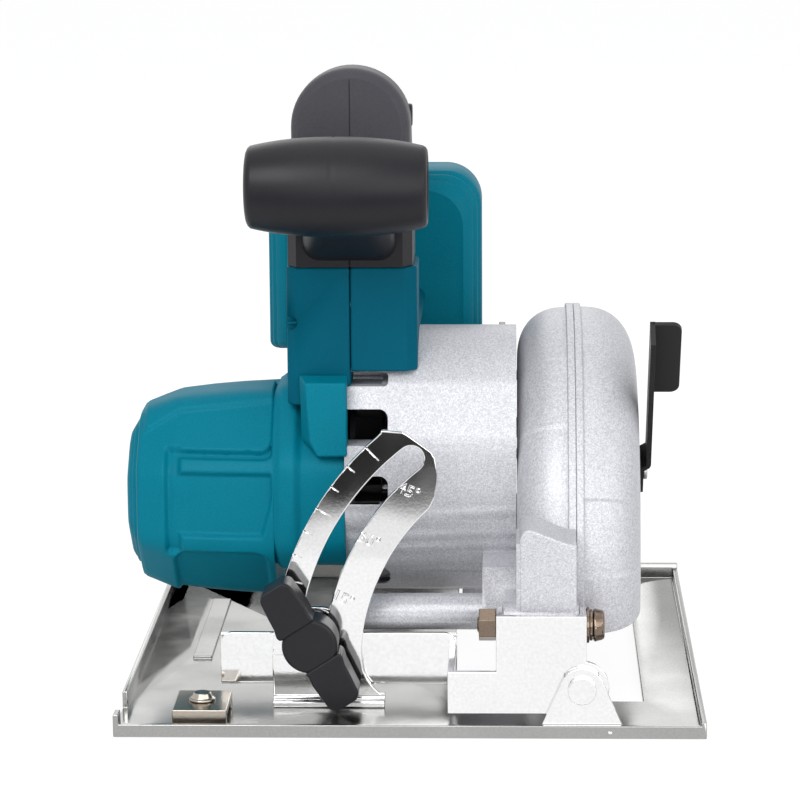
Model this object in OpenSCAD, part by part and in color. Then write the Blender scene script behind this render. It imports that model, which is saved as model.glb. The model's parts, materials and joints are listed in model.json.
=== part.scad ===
// Cordless circular saw, without its battery and its blade.
// Frame: X across the saw (+X is the blade side), Y towards the back, Z up.
// The origin is in the middle of the underside of the base plate.

/* [Base plate] */
// Width of the base plate across the saw
base_w = 205; // [196:1:214]
// Length of the base plate along the cut
base_l = 218; // [212:1:236]
// Thickness of the base plate sheet
base_t = 2; // [1.6:0.2:2.6]
// Height of the turned-up rear and left edges
lip_h = 8; // [6:0.5:10]
// Height of the turned-up front edge
front_lip_h = 4.6; // [4:0.2:6]

/* [Bevel] */
// Sideways place of the bevel pivot, in line with the cut
bevel_x = 59.6; // [56:0.2:62]
// Height of the bevel pivot above the sole
bevel_z = 16.8; // [15:0.2:18]
// Outer radius of the bevel quadrant
quad_r = 109; // [106:0.5:112]
// Inner radius of the bevel quadrant
quad_in_r = 77.5; // [76:0.5:80]
// Radius of the centre line of the quadrant's slot
slot_r = 95.3; // [94:0.1:97]
// Diameter of the bevel clamp bolt
clamp_d = 8; // [6:0.5:8]
// Angle of the clamp bolt about the pivot with the saw upright
clamp_a = 6.5; // [5:0.5:8]
// Largest bevel angle
bevel_max = 45; // [40:1:45]

/* [Depth] */
// Height of the depth pivot bolt above the sole
depth_z = 36; // [34:0.5:38]
// Distance of the depth pivot bolt behind the front edge
depth_back = 17; // [16:0.5:18]
// Radius of the depth guide about the pivot bolt
guide_r = 168; // [164:1:172]
// Deepest position, in degrees from the stored one
depth_min = -8.8; // [-8.8:0.1:-6]
// Shallowest position, in degrees from the stored one
depth_max = 12; // [10:0.5:16]

/* [Drive] */
// Height of the blade spindle above the sole
spindle_z = 41.6; // [40:0.2:44]
// Distance of the spindle behind the middle of the base
spindle_y = 12; // [10:0.5:14]
// Distance of the motor axis behind the middle of the base
motor_y = -8; // [-10:0.5:-6]
// Module of the reduction gears
gear_m = 1.25; // [1.2:0.05:1.3]
// Teeth on the motor pinion
pinion_teeth = 10; // [10:1:10]
// Teeth on the spindle gear
wheel_teeth = 40; // [38:1:40]
// Radius of the motor housing across its flats
motor_r = 40; // [38:0.5:42]

/* [Guards] */
// Outer radius of the bolted rim round the upper guard
rim_r = 89; // [88:0.5:91]
// Outer radius of the upper guard's shell
guard_r = 87.5; // [86.5:0.5:89]
// Wall thickness of the upper guard
guard_t = 2; // [1.6:0.2:2.4]
// Thickness of the lower guard's sheet
sheet_t = 1.6; // [1.2:0.2:1.8]
// Travel of the lower guard from open to closed
guard_travel = 95; // [80:1:95]

/* [Handle] */
// Width of the main handle
grip_w = 43; // [38:1:46]
// Length of the front grip
front_grip_l = 63; // [56:1:70]
// Radius of the front grip at its middle
front_grip_r = 17.2; // [15:0.2:18]

/* [Hidden] */
$fn = 64;
eps = 0.01;
gap = 0.3;        // clearance between pieces that move past each other
run = 0.05;       // radial clearance of a running fit

bx0 = -base_w / 2;
bx1 = base_w / 2;
by0 = -base_l / 2;
by1 = base_l / 2;
pivot_y = by0 + depth_back;

// Places across the saw, counted from the blade side's bevel pivot
guard_x0 = bevel_x - 22.6;
guard_x1 = bevel_x + 22;
rim_x0 = bevel_x - 4.4;
rim_x1 = bevel_x + 1.2;
case_x0 = bevel_x - 84.2;
flange_x0 = case_x0 - 26;
motor_x0 = case_x0 - 74;
cap_x0 = motor_x0 - 6.4;

gear_c = gear_m * (pinion_teeth + wheel_teeth) / 2;
motor_z = spindle_z + sqrt(gear_c * gear_c - pow(spindle_y - motor_y, 2));
guard_in_r = guard_r - guard_t;
lower_r = guard_in_r - 0.4;
edge_a = 8.9;            // slope of the upper guard's lower edge
lower_a0 = -28.8;         // trailing end of the open lower guard
lower_a1 = 176;          // leading end of the open lower guard
lever_a = 124;           // direction of the guard lever when open
stub_r = 37;             // radius of the lever's fixing about the spindle
stub_y = spindle_y + stub_r * cos(lever_a);
stub_z = spindle_z + stub_r * sin(lever_a);
nose_r = 17;             // radius of the gear housing's nose
bolt_r = 3;              // radius of the depth pivot bolt
mesh_a = atan2(motor_z - spindle_z, motor_y - spindle_y);
can_r = 27;
shaft_r = 2.5;
spindle_r = 6;
lock_r = 2;
lock_at = 18;            // distance of the shaft lock pin from the spindle
lock_y = spindle_y + lock_at * cos(45);
lock_z = spindle_z - lock_at * sin(45);

window_x0 = 14;
window_x1 = 82;
window_y0 = by0 + 39;
window_y1 = by1 - 11;

lug_t = 2.3;
lug_y = by0 + base_t + 0.1;
web_t = 2.4;
web_y = lug_y + lug_t + gap;
rear_lug_y = by1 - base_t - 4.2;
rear_web_y = rear_lug_y - gap - web_t;
cheek_x0 = bevel_x - 29.6;
cheek_x1 = bevel_x - 0.8;
quad_t = 2.2;
quad_y = by0 + 33.4;
arm_t = 2.2;
arm_y = quad_y + quad_t + 2;
rivet_r = 3;
slot_hw = clamp_d / 2 + 0.5;
guide_a = 12;
guide_t = 2.4;
guide_x = guard_x0 - gap - 4 - guide_t;
guide_slot_hw = 3.4;
guide_by = pivot_y + guide_r * cos(guide_a);
guide_bz = depth_z + guide_r * sin(guide_a);
clamp_x = bevel_x - slot_r * cos(clamp_a);
clamp_z = bevel_z + slot_r * sin(clamp_a);

hx = -22.5;              // centre plane of the handle
post_y0 = -39;
post_y1 = -8;
post_z0 = 112;
foot_z = 100;            // the left half reaches further down, to the motor flange
post_z1 = 151;
case_ry = 42;            // radius of the gear housing's ends
case_zc = motor_z + 9;
rail_z0 = case_zc + 4.6 + case_ry + gap;
rail_z1 = 131;
holder_x0 = -60;
holder_x1 = 22;
holder_y0 = 62;
holder_y1 = 100;
holder_z0 = 104;
holder_z1 = 171;
holder_xc = (holder_x0 + holder_x1) / 2;
wall = 2.6;

// Solid disc along X between x0 and x1 about the axis at y, z
module rod_x(x0, x1, r, y, z) {
    translate([x0, y, z]) rotate([0, 90, 0]) cylinder(h = x1 - x0, r = r);
}

// Solid disc along Y between y0 and y1 about the axis at x, z
module rod_y(y0, y1, r, x, z) {
    translate([x, y0, z]) rotate([-90, 0, 0]) cylinder(h = y1 - y0, r = r);
}

// Plate across X: a flat outline given in Y and Z
module plate_x(x0, x1) {
    translate([x0, 0, 0]) rotate([90, 0, 90]) linear_extrude(x1 - x0) children();
}

// Plate across Y: a flat outline given in X and Z
module plate_y(y0, y1) {
    translate([0, y1, 0]) rotate([90, 0, 0]) linear_extrude(y1 - y0) children();
}

// Box from its low corner to its high corner
module block(a, b) {
    translate(a) cube(b - a);
}

// Flat pie slice about the origin, from angle a0 to a1, under 180 degrees
module slice(r, a0, a1) {
    mid = (a0 + a1) / 2;
    polygon([[0, 0], r * [cos(a0), sin(a0)], 1.5 * r * [cos(mid), sin(mid)],
             r * [cos(a1), sin(a1)]]);
}

// Flat ring about the origin, kept between angles a0 and a1
module ring_part(r0, r1, a0, a1) {
    third = (a1 - a0) / 3;
    difference() {
        intersection() {
            circle(r = r1, $fn = 128);
            union() {
                for (i = [0:2]) slice(3 * r1, a0 + i * third - eps, a0 + (i + 1) * third + eps);
            }
        }
        circle(r = r0, $fn = 128);
    }
}

// Eight-sided outline with flats r from its centre
module octagon(r, cut) {
    polygon([[-r, -r + cut], [-r + cut, -r], [r - cut, -r], [r, -r + cut],
             [r, r - cut], [r - cut, r], [-r + cut, r], [-r, r - cut]]);
}

// Rectangle with rounded corners, from corner a to corner b
module soft_rect(a, b, r) {
    hull() {
        for (x = [a[0] + r, b[0] - r], y = [a[1] + r, b[1] - r]) {
            translate([x, y]) circle(r = r, $fn = 32);
        }
    }
}

// Hexagon nut or bolt head along X
module hex_x(x0, x1, flats, y, z) {
    translate([x0, y, z]) rotate([0, 90, 0]) cylinder(h = x1 - x0, d = flats / cos(30), $fn = 6);
}

// ---- Base ----

module base_plate() {
    color("gainsboro")
    difference() {
        union() {
            block([bx0, by0, 0], [bx1, by1, base_t]);
            block([bx0, by0, 0], [bx1, by0 + base_t, front_lip_h]);
            block([bx0, by1 - base_t, 0], [bx1, by1, lip_h]);
            block([bx0, by0, 0], [bx0 + base_t, by1, lip_h]);
            block([bx1 - base_t, by0, 0], [bx1, by1, 6]);
            block([bx0 + 19, -16, base_t - eps], [bx0 + 26, 68, base_t + 1.2]);
        }
        block([window_x0, window_y0, -1], [window_x1, window_y1, base_t + 1]);
        // gap in the left edge for the bar of a rip fence
        block([bx0 - 1, by0 + 7, base_t], [bx0 + base_t + eps, by0 + 29, lip_h + 1]);
        // hole for the screw of the fence strap
        translate([bx0 + 29.5, by0 + 18, -1]) cylinder(h = 10, r = 2.6);
    }
}

module bevel_quadrant() {
    color("silver")
    union() {
        plate_y(quad_y, quad_y + quad_t) difference() {
            intersection() {
                translate([bevel_x, bevel_z]) circle(r = quad_r, $fn = 128);
                polygon([[bevel_x - quad_r - 1, base_t], [bevel_x - 68.5, base_t],
                         [bevel_x - 68.5, bevel_z - 4], [bevel_x - 62, bevel_z + 30],
                         [bevel_x - 50.5, bevel_z + 60], [bevel_x - 49.5, bevel_z + 69],
                         [bevel_x - 51.5, bevel_z + 77.5], [bevel_x - 62.5, bevel_z + 84],
                         [bevel_x - 70, bevel_z + 84.6], [bevel_x - quad_r - 1, bevel_z + 60]]);
            }
            difference() {
                translate([bevel_x, bevel_z]) circle(r = quad_in_r, $fn = 128);
                translate([bevel_x - 75, base_t - 1]) square([6.5, 7]);
            }
            translate([bevel_x, bevel_z]) mirror([1, 0]) {
                ring_part(slot_r - slot_hw, slot_r + slot_hw, clamp_a, clamp_a + bevel_max);
                for (a = [clamp_a, clamp_a + bevel_max]) {
                    translate(slot_r * [cos(a), sin(a)]) circle(r = slot_hw);
                }
            }
        }
        // welded foot, turned to the front
        block([bevel_x - quad_r + 0.4, quad_y - 6, base_t], [bevel_x - 68.5, quad_y + quad_t, base_t + 2]);
    }
}

// Upright ear with a rounded top and a hole for the bevel rivet
module pivot_ear(y) {
    plate_y(y, y + lug_t) difference() {
        hull() {
            translate([bevel_x, bevel_z]) circle(r = 7.6, $fn = 32);
            translate([bevel_x - 14, base_t]) square([28, 2]);
        }
        translate([bevel_x, bevel_z]) circle(r = rivet_r + run);
    }
}

module front_pivot_lug() {
    color("silver") pivot_ear(lug_y);
}

module rear_pivot_lug() {
    color("silver") pivot_ear(rear_lug_y);
}

module pivot_rivets() {
    color("gainsboro") {
        rod_y(lug_y - 0.1, web_y + web_t + 1, rivet_r, bevel_x, bevel_z);
        rod_y(lug_y - 1.8, lug_y - 0.1 + eps, 5, bevel_x, bevel_z);
        rod_y(web_y + web_t + 0.1, web_y + web_t + 1.6, 4.4, bevel_x, bevel_z);
        rod_y(rear_web_y - 1, rear_lug_y + lug_t + 0.1, rivet_r, bevel_x, bevel_z);
        rod_y(rear_lug_y + lug_t + 0.1 - eps, rear_lug_y + lug_t + 1.6, 5, bevel_x, bevel_z);
        rod_y(rear_web_y - 1.6, rear_web_y - 0.1, 4.4, bevel_x, bevel_z);
    }
}

module fence_strap() {
    color("khaki")
    difference() {
        block([bx0 + 20, by0 + 5.5, base_t], [bx0 + 39, by0 + 30.5, base_t + 6.2]);
        block([bx0 + 19, by0 + 8, base_t - 1], [bx0 + 40, by0 + 28, base_t + 3.6]);
        translate([bx0 + 29.5, by0 + 18, base_t]) cylinder(h = 10, r = 2.6);
    }
}

module fence_screw() {
    color("khaki")
    translate([bx0 + 29.5, by0 + 18, 0]) {
        translate([0, 0, base_t + 4.4]) cylinder(h = 4.4, r = 2.4);
        translate([0, 0, base_t + 6.3]) cylinder(h = 0.9, r = 4.6);
        translate([0, 0, base_t + 7.2 - eps]) cylinder(h = 2, r1 = 3.8, r2 = 3);
    }
}

// ---- Bevel frame ----

module front_bracket() {
    color("silver")
    difference() {
        union() {
            // front web with the bevel ear below it
            plate_y(web_y, web_y + web_t) union() {
                translate([cheek_x0, bevel_z - 6])
                    square([cheek_x1 + web_t - cheek_x0, depth_z + 12.2 - bevel_z]);
                translate([bevel_x - 44, bevel_z - 9.4]) square([40, 15]);
                translate([bevel_x, bevel_z]) circle(r = 9.4);
            }
            for (x = [cheek_x0, cheek_x1]) plate_x(x, x + web_t) union() {
                translate([web_y, depth_z - 8]) square([pivot_y - web_y, 14.2]);
                translate([pivot_y, depth_z - 1.9]) circle(r = 8.1);
            }
            // turned end that leads back to the clamp arm
            plate_x(bevel_x - 46.4, bevel_x - 44 + eps) {
                translate([web_y, bevel_z - 9.4]) square([arm_y - web_y, 15]);
            }
        }
        rod_y(web_y - 1, web_y + web_t + 1, rivet_r + run, bevel_x, bevel_z);
        rod_x(cheek_x0 - 1, cheek_x1 + web_t + 1, bolt_r + run, pivot_y, depth_z);
    }
}

module bracket_arm() {
    color("silver")
    difference() {
        union() {
            plate_y(arm_y, arm_y + arm_t) union() {
                soft_rect([bx0 + 34.5, bevel_z - 8.3], [bevel_x - 44, bevel_z + 10.5], 4);
                soft_rect([clamp_x - 9, bevel_z - 2], [clamp_x + 9, clamp_z + 9], 6);
            }
        }
        rod_y(arm_y - 1, arm_y + arm_t + 1, clamp_d / 2 + run, clamp_x, clamp_z);
    }
}

module rear_bracket() {
    color("silver")
    difference() {
        plate_y(rear_web_y, rear_web_y + web_t) union() {
            translate([bevel_x, bevel_z]) circle(r = 6.4);
            translate([guide_x, bevel_z - 7]) square([bevel_x - guide_x, 13]);
        }
        rod_y(rear_web_y - 1, rear_web_y + web_t + 1, rivet_r + run, bevel_x, bevel_z);
    }
}

module depth_guide() {
    color("silver")
    plate_x(guide_x, guide_x + guide_t) difference() {
        union() {
            translate([pivot_y, depth_z]) ring_part(guide_r - 9, guide_r + 9, -8, guide_a + depth_max + 2.6);
            translate([guide_by - 24, bevel_z - 7]) square([rear_web_y - guide_by + 24, 13]);
        }
        translate([pivot_y, depth_z]) {
            ring_part(guide_r - guide_slot_hw, guide_r + guide_slot_hw,
                      guide_a + depth_min, guide_a + depth_max);
            for (a = [guide_a + depth_min, guide_a + depth_max]) {
                translate(guide_r * [cos(a), sin(a)]) circle(r = guide_slot_hw);
            }
        }
    }
}

module clamp_bolt() {
    color("dimgray") {
        rod_y(quad_y - 16, arm_y + arm_t + 0.2, clamp_d / 2, clamp_x, clamp_z);
        rod_y(arm_y + arm_t + 0.1, arm_y + arm_t + 3.4, 6.5, clamp_x, clamp_z);
        rod_y(quad_y - 2.2, quad_y - 0.3, 8, clamp_x, clamp_z);
    }
}

module wing_knob() {
    color("#26262a")
    difference() {
        union() {
            rod_y(quad_y - 17, quad_y - 2.6, 11, clamp_x, clamp_z);
            plate_y(quad_y - 17, quad_y - 5) translate([clamp_x, clamp_z]) rotate(-56)
                soft_rect([-23, -6.4], [23, 6.4], 3);
        }
        rod_y(quad_y - 16.4, quad_y, clamp_d / 2 + run, clamp_x, clamp_z);
    }
}

module pivot_bolt() {
    color("peru")
    union() {
        rod_x(cheek_x0 - 6.6, cheek_x1 + web_t + 2.5, bolt_r, pivot_y, depth_z);
        translate([cheek_x1 + web_t + 2.4, pivot_y, depth_z]) rotate([0, 90, 0])
            cylinder(h = 4, r1 = 6, r2 = 5);
    }
}

module pivot_nut() {
    color("peru")
    difference() {
        hex_x(cheek_x0 - 6, cheek_x0 - 0.1, 10, pivot_y, depth_z);
        rod_x(cheek_x0 - 9, cheek_x0 + 1, bolt_r + 0.02, pivot_y, depth_z);
    }
}

module pivot_washers() {
    color("peru")
    for (i = [0, 1]) difference() {
        rod_x(cheek_x1 + web_t + 0.1 + i * 1.15, cheek_x1 + web_t + 1.1 + i * 1.15,
              6.3 - i * 0.8, pivot_y, depth_z);
        rod_x(cheek_x1, cheek_x1 + web_t + 4, bolt_r + 0.1, pivot_y, depth_z);
    }
}

// ---- Gear housing and guards ----

lug_x1 = (rim_x0 + rim_x1) / 2 - 0.3;
gear_case_r = gear_m * wheel_teeth / 2 + 4.4;
// Heights of the air outlets, each from its bottom to its top
vent_z = [[case_zc - 40.5, case_zc - 32], [case_zc - 6, case_zc + 4.4], [case_zc + 15, case_zc + 26.8],
          [case_zc + 34.6, case_zc + 38]];

// Side outline of the gear housing's drum, grown by g
module case_outline(g) {
    hull() {
        for (dz = [-4.6, 4.6]) translate([motor_y + 2, case_zc + dz]) circle(r = case_ry + g, $fn = 96);
    }
}

module gear_housing() {
    color("lightgray")
    difference() {
        union() {
            plate_x(case_x0, guard_x0) case_outline(0);
            // gear case and bearing boss reach down below the motor line
            rod_x(guard_x0 - 20, guard_x0, gear_case_r, spindle_y, spindle_z);
            rod_x(guard_x0 - 27, guard_x0 - 19, 13, spindle_y, spindle_z);
            // nose that carries the lower guard
            rod_x(guard_x0 - 1, guard_x0 + 12.6, nose_r - run, spindle_y, spindle_z);
            // cast strut along the front
            rod_x(case_x0 + 0.6, guard_x0 - 10, 6.5, -60, depth_z - 3.7);
            block([guard_x0 - 12, -66, depth_z - 8], [guard_x0, -36, depth_z + 14]);
            // lug that hangs on the depth pivot bolt
            block([guard_x0, -97, depth_z + 4], [lug_x1, spindle_y - guard_r + 1, depth_z + 30]);
            block([guard_x0, pivot_y - 5, depth_z - 6], [lug_x1, spindle_y - guard_r + 4, depth_z + 5]);
            rod_x(cheek_x0 + web_t + gap, cheek_x1 - gap, 8, pivot_y, depth_z);
            block([guard_x0 - 4, pivot_y, depth_z - 6], [guard_x0, -60, depth_z + 6]);
        }
        // motor side cavity
        rod_x(case_x0 - 1, case_x0 + 24, 36, motor_y, motor_z);
        // gear cavity
        rod_x(guard_x0 - 17, guard_x0 - 7, gear_case_r - 2.6, spindle_y, spindle_z);
        rod_x(guard_x0 - 18, guard_x0 - 7, 9, motor_y, motor_z);
        rod_x(case_x0 + 30, guard_x0 - 17, 4, motor_y, motor_z);
        // seats for the motor bearing and shaft
        rod_x(case_x0 + 23, case_x0 + 30.5, 11 + run, motor_y, motor_z);
        // seats for the spindle bearings
        rod_x(guard_x0 - 25, guard_x0 - 16, 9.5 + run, spindle_y, spindle_z);
        rod_x(guard_x0 - 8, guard_x0 + 4, 13 + run, spindle_y, spindle_z);
        rod_x(guard_x0 + 3, guard_x0 + 14, 10, spindle_y, spindle_z);
        rod_x(cheek_x0, cheek_x1 + 2, bolt_r + run, pivot_y, depth_z);
        // air outlets beside the motor
        for (z = vent_z) block([case_x0 - 1, -60, z[0]], [case_x0 + 13, -20, z[1]]);
        guard_screw_holes(1.95);
        // slide hole of the shaft lock
        rod_x(guard_x0 - 21, guard_x0 - 15, lock_r + run, lock_y, lock_z);
    }
}

// Half-moon outline of the upper guard about the spindle
module guard_moon(r) {
    translate([spindle_y, spindle_z]) rotate(edge_a) intersection() {
        circle(r = r, $fn = 128);
        translate([-r - 1, 0]) square([2 * r + 2, r + 1]);
    }
}

module upper_guard_inner() {
    color("lightgray")
    difference() {
        union() {
            plate_x(guard_x0 + 5, rim_x0) guard_moon(guard_r);
            plate_x(guard_x0, guard_x0 + 5.1) guard_moon(guard_r - 5);
            plate_x(rim_x0, (rim_x0 + rim_x1) / 2 - 0.05) guard_moon(rim_r);
            rod_x(guard_x0 - 4, guard_x0 + 1, 8, guide_by, guide_bz);
        }
        plate_x(guard_x0 + 3, rim_x1) guard_moon(guard_in_r - 6);
        plate_x(guard_x0 + 7, rim_x1) guard_moon(guard_in_r);
        // opening round the nose of the gear housing, and for its lug
        rod_x(guard_x0 - 1, rim_x1, 24, spindle_y, spindle_z);
        block([guard_x0 - 1, -98, 20], [lug_x1 + 0.3, spindle_y - guard_r + 4.2, depth_z + 30.2]);
        rod_x(guard_x0 - 5, guard_x0 + 8, bolt_r + 0.1, guide_by, guide_bz);
        guard_screw_holes(2);
    }
}

// Screws that hold the inner guard half to the gear housing
guard_screw_at = [[-32, 84], [-6, 108], [24, 84]];

module guard_screw_holes(r) {
    for (p = guard_screw_at) rod_x(guard_x0 - 11, guard_x0 + 8, r, p[0], p[1]);
}

module upper_guard_outer() {
    color("lightgray")
    difference() {
        union() {
            plate_x(rim_x1, guard_x1 - 8) guard_moon(guard_r);
            plate_x(guard_x1 - 8.1, guard_x1) guard_moon(guard_r - 7);
            plate_x((rim_x0 + rim_x1) / 2 + 0.05, rim_x1 + 0.1) guard_moon(rim_r);
        }
        plate_x(rim_x0, guard_x1 - 9) guard_moon(guard_in_r);
        plate_x(rim_x0, guard_x1 - 3) guard_moon(guard_in_r - 9);
        // curved slot for the lever's fixing
        plate_x(guard_x1 - 5, guard_x1 + 1) translate([spindle_y, spindle_z]) {
            ring_part(stub_r - 5, stub_r + 5, -10, lever_a);
            translate(stub_r * [cos(lever_a), sin(lever_a)]) circle(r = 5);
        }
    }
}

module guard_screws() {
    color("silver")
    for (p = guard_screw_at) {
        rod_x(guard_x0 - 10, guard_x0 + 3.2, 1.9, p[0], p[1]);
        rod_x(guard_x0 + 3.1, guard_x0 + 5.4, 3.4, p[0], p[1]);
    }
}

module lower_guard() {
    color("silver")
    difference() {
        union() {
            plate_x(bevel_x - 9.6, bevel_x + 9.6) translate([spindle_y, spindle_z]) {
                ring_part(lower_r - sheet_t, lower_r, lower_a0, lower_a1);
            }
            plate_x(bevel_x - 9.6, bevel_x - 9.6 + sheet_t) translate([spindle_y, spindle_z]) {
                ring_part(nose_r + 1, lower_r, lower_a0, lower_a1);
            }
            plate_x(bevel_x + 9.6 - sheet_t, bevel_x + 9.6) translate([spindle_y, spindle_z]) {
                ring_part(56, lower_r, lower_a0, lower_a1);
                rotate(lever_a) translate([stub_r - 6, -6]) square([30, 12]);
            }
            rod_x(bevel_x - 12.6, bevel_x - 9.6 + sheet_t, nose_r + 4, spindle_y, spindle_z);
            // stub that reaches out through the upper guard to the lever
            rod_x(bevel_x + 9.5, guard_x1 + gap, 4, stub_y, stub_z);
        }
        rod_x(bevel_x - 14, bevel_x - 6, nose_r, spindle_y, spindle_z);
        rod_x(bevel_x + 12, guard_x1 + 2, 1.6, stub_y, stub_z);
    }
}

module guard_lever() {
    color("#1c1c1e")
    translate([0, spindle_y, spindle_z]) rotate([lever_a, 0, 0]) difference() {
        union() {
            block([guard_x1 + gap, stub_r - 5, -6], [guard_x1 + gap + 1.8, stub_r + 8, 6]);
            block([guard_x1 + gap, stub_r + 6.2, -6], [guard_x1 + gap + 4.4, stub_r + 8, 6]);
            block([guard_x1 + gap + 2.6, stub_r + 6.2, -6], [guard_x1 + gap + 4.4, 108, 6]);
            block([guard_x1 + gap + 2.6, 74, -6], [guard_x1 + gap + 14, 108, -4.2]);
        }
        translate([guard_x1, stub_r, 0]) rotate([0, 90, 0]) cylinder(h = 9, r = 1.7);
    }
}

module lever_screw() {
    color("dimgray")
    translate([0, spindle_y, spindle_z]) rotate([lever_a, 0, 0]) union() {
        rod_x(guard_x1 - 6, guard_x1 + gap + 2, 1.5, stub_r, 0);
        rod_x(guard_x1 + gap + 1.9, guard_x1 + gap + 3.4, 3, stub_r, 0);
    }
}

module guard_spring() {
    color("gray")
    difference() {
        rod_x(guard_x0 + 4, bevel_x - 13, nose_r + 3.4, spindle_y, spindle_z);
        rod_x(guard_x0 + 3, bevel_x - 10, nose_r + 0.3, spindle_y, spindle_z);
    }
}

module depth_bolt() {
    color("dimgray")
    union() {
        rod_x(guide_x - 9, guard_x0 + 3.1, bolt_r, guide_by, guide_bz);
        rod_x(guard_x0 + 3.05, guard_x0 + 5.5, 5.2, guide_by, guide_bz);
        rod_x(guide_x - 1.6, guide_x - 0.2, 6, guide_by, guide_bz);
    }
}

module depth_lever() {
    color("#26262a")
    difference() {
        union() {
            rod_x(guide_x - 12, guide_x - 1.9, 8, guide_by, guide_bz);
            plate_x(guide_x - 12, guide_x - 6) translate([guide_by, guide_bz]) rotate(-20)
                soft_rect([-6, -6], [42, 6], 5);
        }
        rod_x(guide_x - 10, guide_x, bolt_r + run, guide_by, guide_bz);
    }
}

// ---- Motor ----

module motor_housing() {
    color("teal")
    difference() {
        union() {
            plate_x(motor_x0, flange_x0) translate([motor_y, motor_z]) octagon(motor_r, 23);
            // raised frame on the front
            block([motor_x0 + 32, -50.4, motor_z - 24], [motor_x0 + 39, -47, motor_z + 8]);
            block([motor_x0 + 32, -50.4, motor_z + 2], [flange_x0 - 2, -47, motor_z + 8]);
            block([motor_x0 + 32, -50.4, motor_z - 26], [flange_x0 - 2, -47, motor_z - 20]);
        }
        rod_x(motor_x0 + 2, flange_x0 + 1, motor_r - 3, motor_y, motor_z);
        rod_x(motor_x0 - 1, motor_x0 + 3, 30, motor_y, motor_z);
    }
    // rings that hold the motor can
    color("teal") for (x = [motor_x0 + 16, flange_x0 - 12]) difference() {
        rod_x(x, x + 4, motor_r - 2.9, motor_y, motor_z);
        rod_x(x - 1, x + 5, can_r + 0.1, motor_y, motor_z);
    }
}

module housing_flange() {
    color("teal")
    difference() {
        union() {
            plate_x(flange_x0 + 0.1, case_x0 - 0.1) translate([motor_y, motor_z]) octagon(motor_r + 1.5, 20);
            block([flange_x0 + 8, -51.5, motor_z + 1], [case_x0 - 0.1, -30, motor_z + 33]);
        }
        rod_x(flange_x0 - 1, case_x0 + 1, motor_r - 3, motor_y, motor_z);
        column_space();
    }
}

// Room that the two body halves take in the flange's top
module column_space() {
    block([hx - 24.5, post_y0 - 1, foot_z - 0.1], [hx + 25, 40, motor_z + 60]);
}

module motor_end_cap() {
    color("teal")
    difference() {
        union() {
            plate_x(motor_x0 - 3, motor_x0 - 0.1) translate([motor_y, motor_z]) octagon(motor_r - 4, 21);
            plate_x(cap_x0, motor_x0 - 2.9) translate([motor_y, motor_z]) octagon(motor_r - 12, 17);
            difference() {
                rod_x(motor_x0 - 1, motor_x0 + 8, 29.8, motor_y, motor_z);
                rod_x(motor_x0 - 2, motor_x0 + 9, 26, motor_y, motor_z);
            }
            rod_x(motor_x0 - 1, motor_x0 + 8, 9, motor_y, motor_z);
        }
        rod_x(motor_x0 + 1, motor_x0 + 9, 6.5 + run, motor_y, motor_z);
        rod_x(motor_x0 - 2, motor_x0 + 2, 4, motor_y, motor_z);
    }
}

module motor_can() {
    color("dimgray")
    difference() {
        rod_x(motor_x0 + 15, flange_x0 - 6, can_r, motor_y, motor_z);
        rod_x(motor_x0 + 14, flange_x0 - 5, can_r - 4.5, motor_y, motor_z);
    }
}

module armature() {
    color("peru")
    difference() {
        rod_x(motor_x0 + 20, flange_x0 - 10, can_r - 5.5, motor_y, motor_z);
        rod_x(motor_x0 + 14, flange_x0 - 5, shaft_r + 0.02, motor_y, motor_z);
        for (i = [0:11]) translate([0, motor_y, motor_z]) rotate([i * 30, 0, 0]) {
            block([motor_x0 + 19, can_r - 10, -1.2], [flange_x0 - 9, can_r, 1.2]);
        }
    }
}

module motor_shaft() {
    color("silver")
    rod_x(motor_x0 + 2.2, guard_x0 - 7.5, shaft_r, motor_y, motor_z);
}

module commutator() {
    color("peru")
    difference() {
        rod_x(motor_x0 + 10, motor_x0 + 18, 8, motor_y, motor_z);
        rod_x(motor_x0 + 9, motor_x0 + 19, shaft_r + 0.02, motor_y, motor_z);
    }
}

module brush_holders() {
    color("goldenrod")
    for (s = [-1, 1]) {
        block([motor_x0 + 10.5, motor_y + s * 17.3 - 9, motor_z - 3],
              [motor_x0 + 14.6, motor_y + s * 17.3 + 9, motor_z + 3]);
    }
}

module motor_fan() {
    color("#202022")
    difference() {
        union() {
            rod_x(case_x0 + 1, case_x0 + 3, 31, motor_y, motor_z);
            rod_x(case_x0 + 1, case_x0 + 12, 8, motor_y, motor_z);
            for (i = [0:15]) translate([0, motor_y, motor_z]) rotate([i * 22.5, 0, 0]) {
                block([case_x0 + 2.9, 12, -0.8], [case_x0 + 12, 31, 0.8]);
            }
        }
        rod_x(case_x0, case_x0 + 13, shaft_r + 0.02, motor_y, motor_z);
    }
}

// Flat outline of a spur gear with straight-sided teeth, one tooth towards angle 0
module gear_outline(teeth, m, back) {
    rp = teeth * m / 2;
    pitch = 360 / teeth;
    thick = pitch / 4 - back;
    polygon([for (i = [0:teeth - 1], p = [[rp - 1.2 * m, -1.62 * thick], [rp + 0.85 * m, -0.5 * thick],
                                         [rp + 0.85 * m, 0.5 * thick], [rp - 1.2 * m, 1.62 * thick]])
        p[0] * [cos(i * pitch + p[1]), sin(i * pitch + p[1])]]);
}

module pinion() {
    color("silver")
    difference() {
        plate_x(guard_x0 - 17, guard_x0 - 7.6) translate([motor_y, motor_z]) {
            rotate(mesh_a + 180) gear_outline(pinion_teeth, gear_m, 1.6);
        }
        rod_x(guard_x0 - 18, guard_x0 - 6, shaft_r + 0.02, motor_y, motor_z);
    }
}

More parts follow.
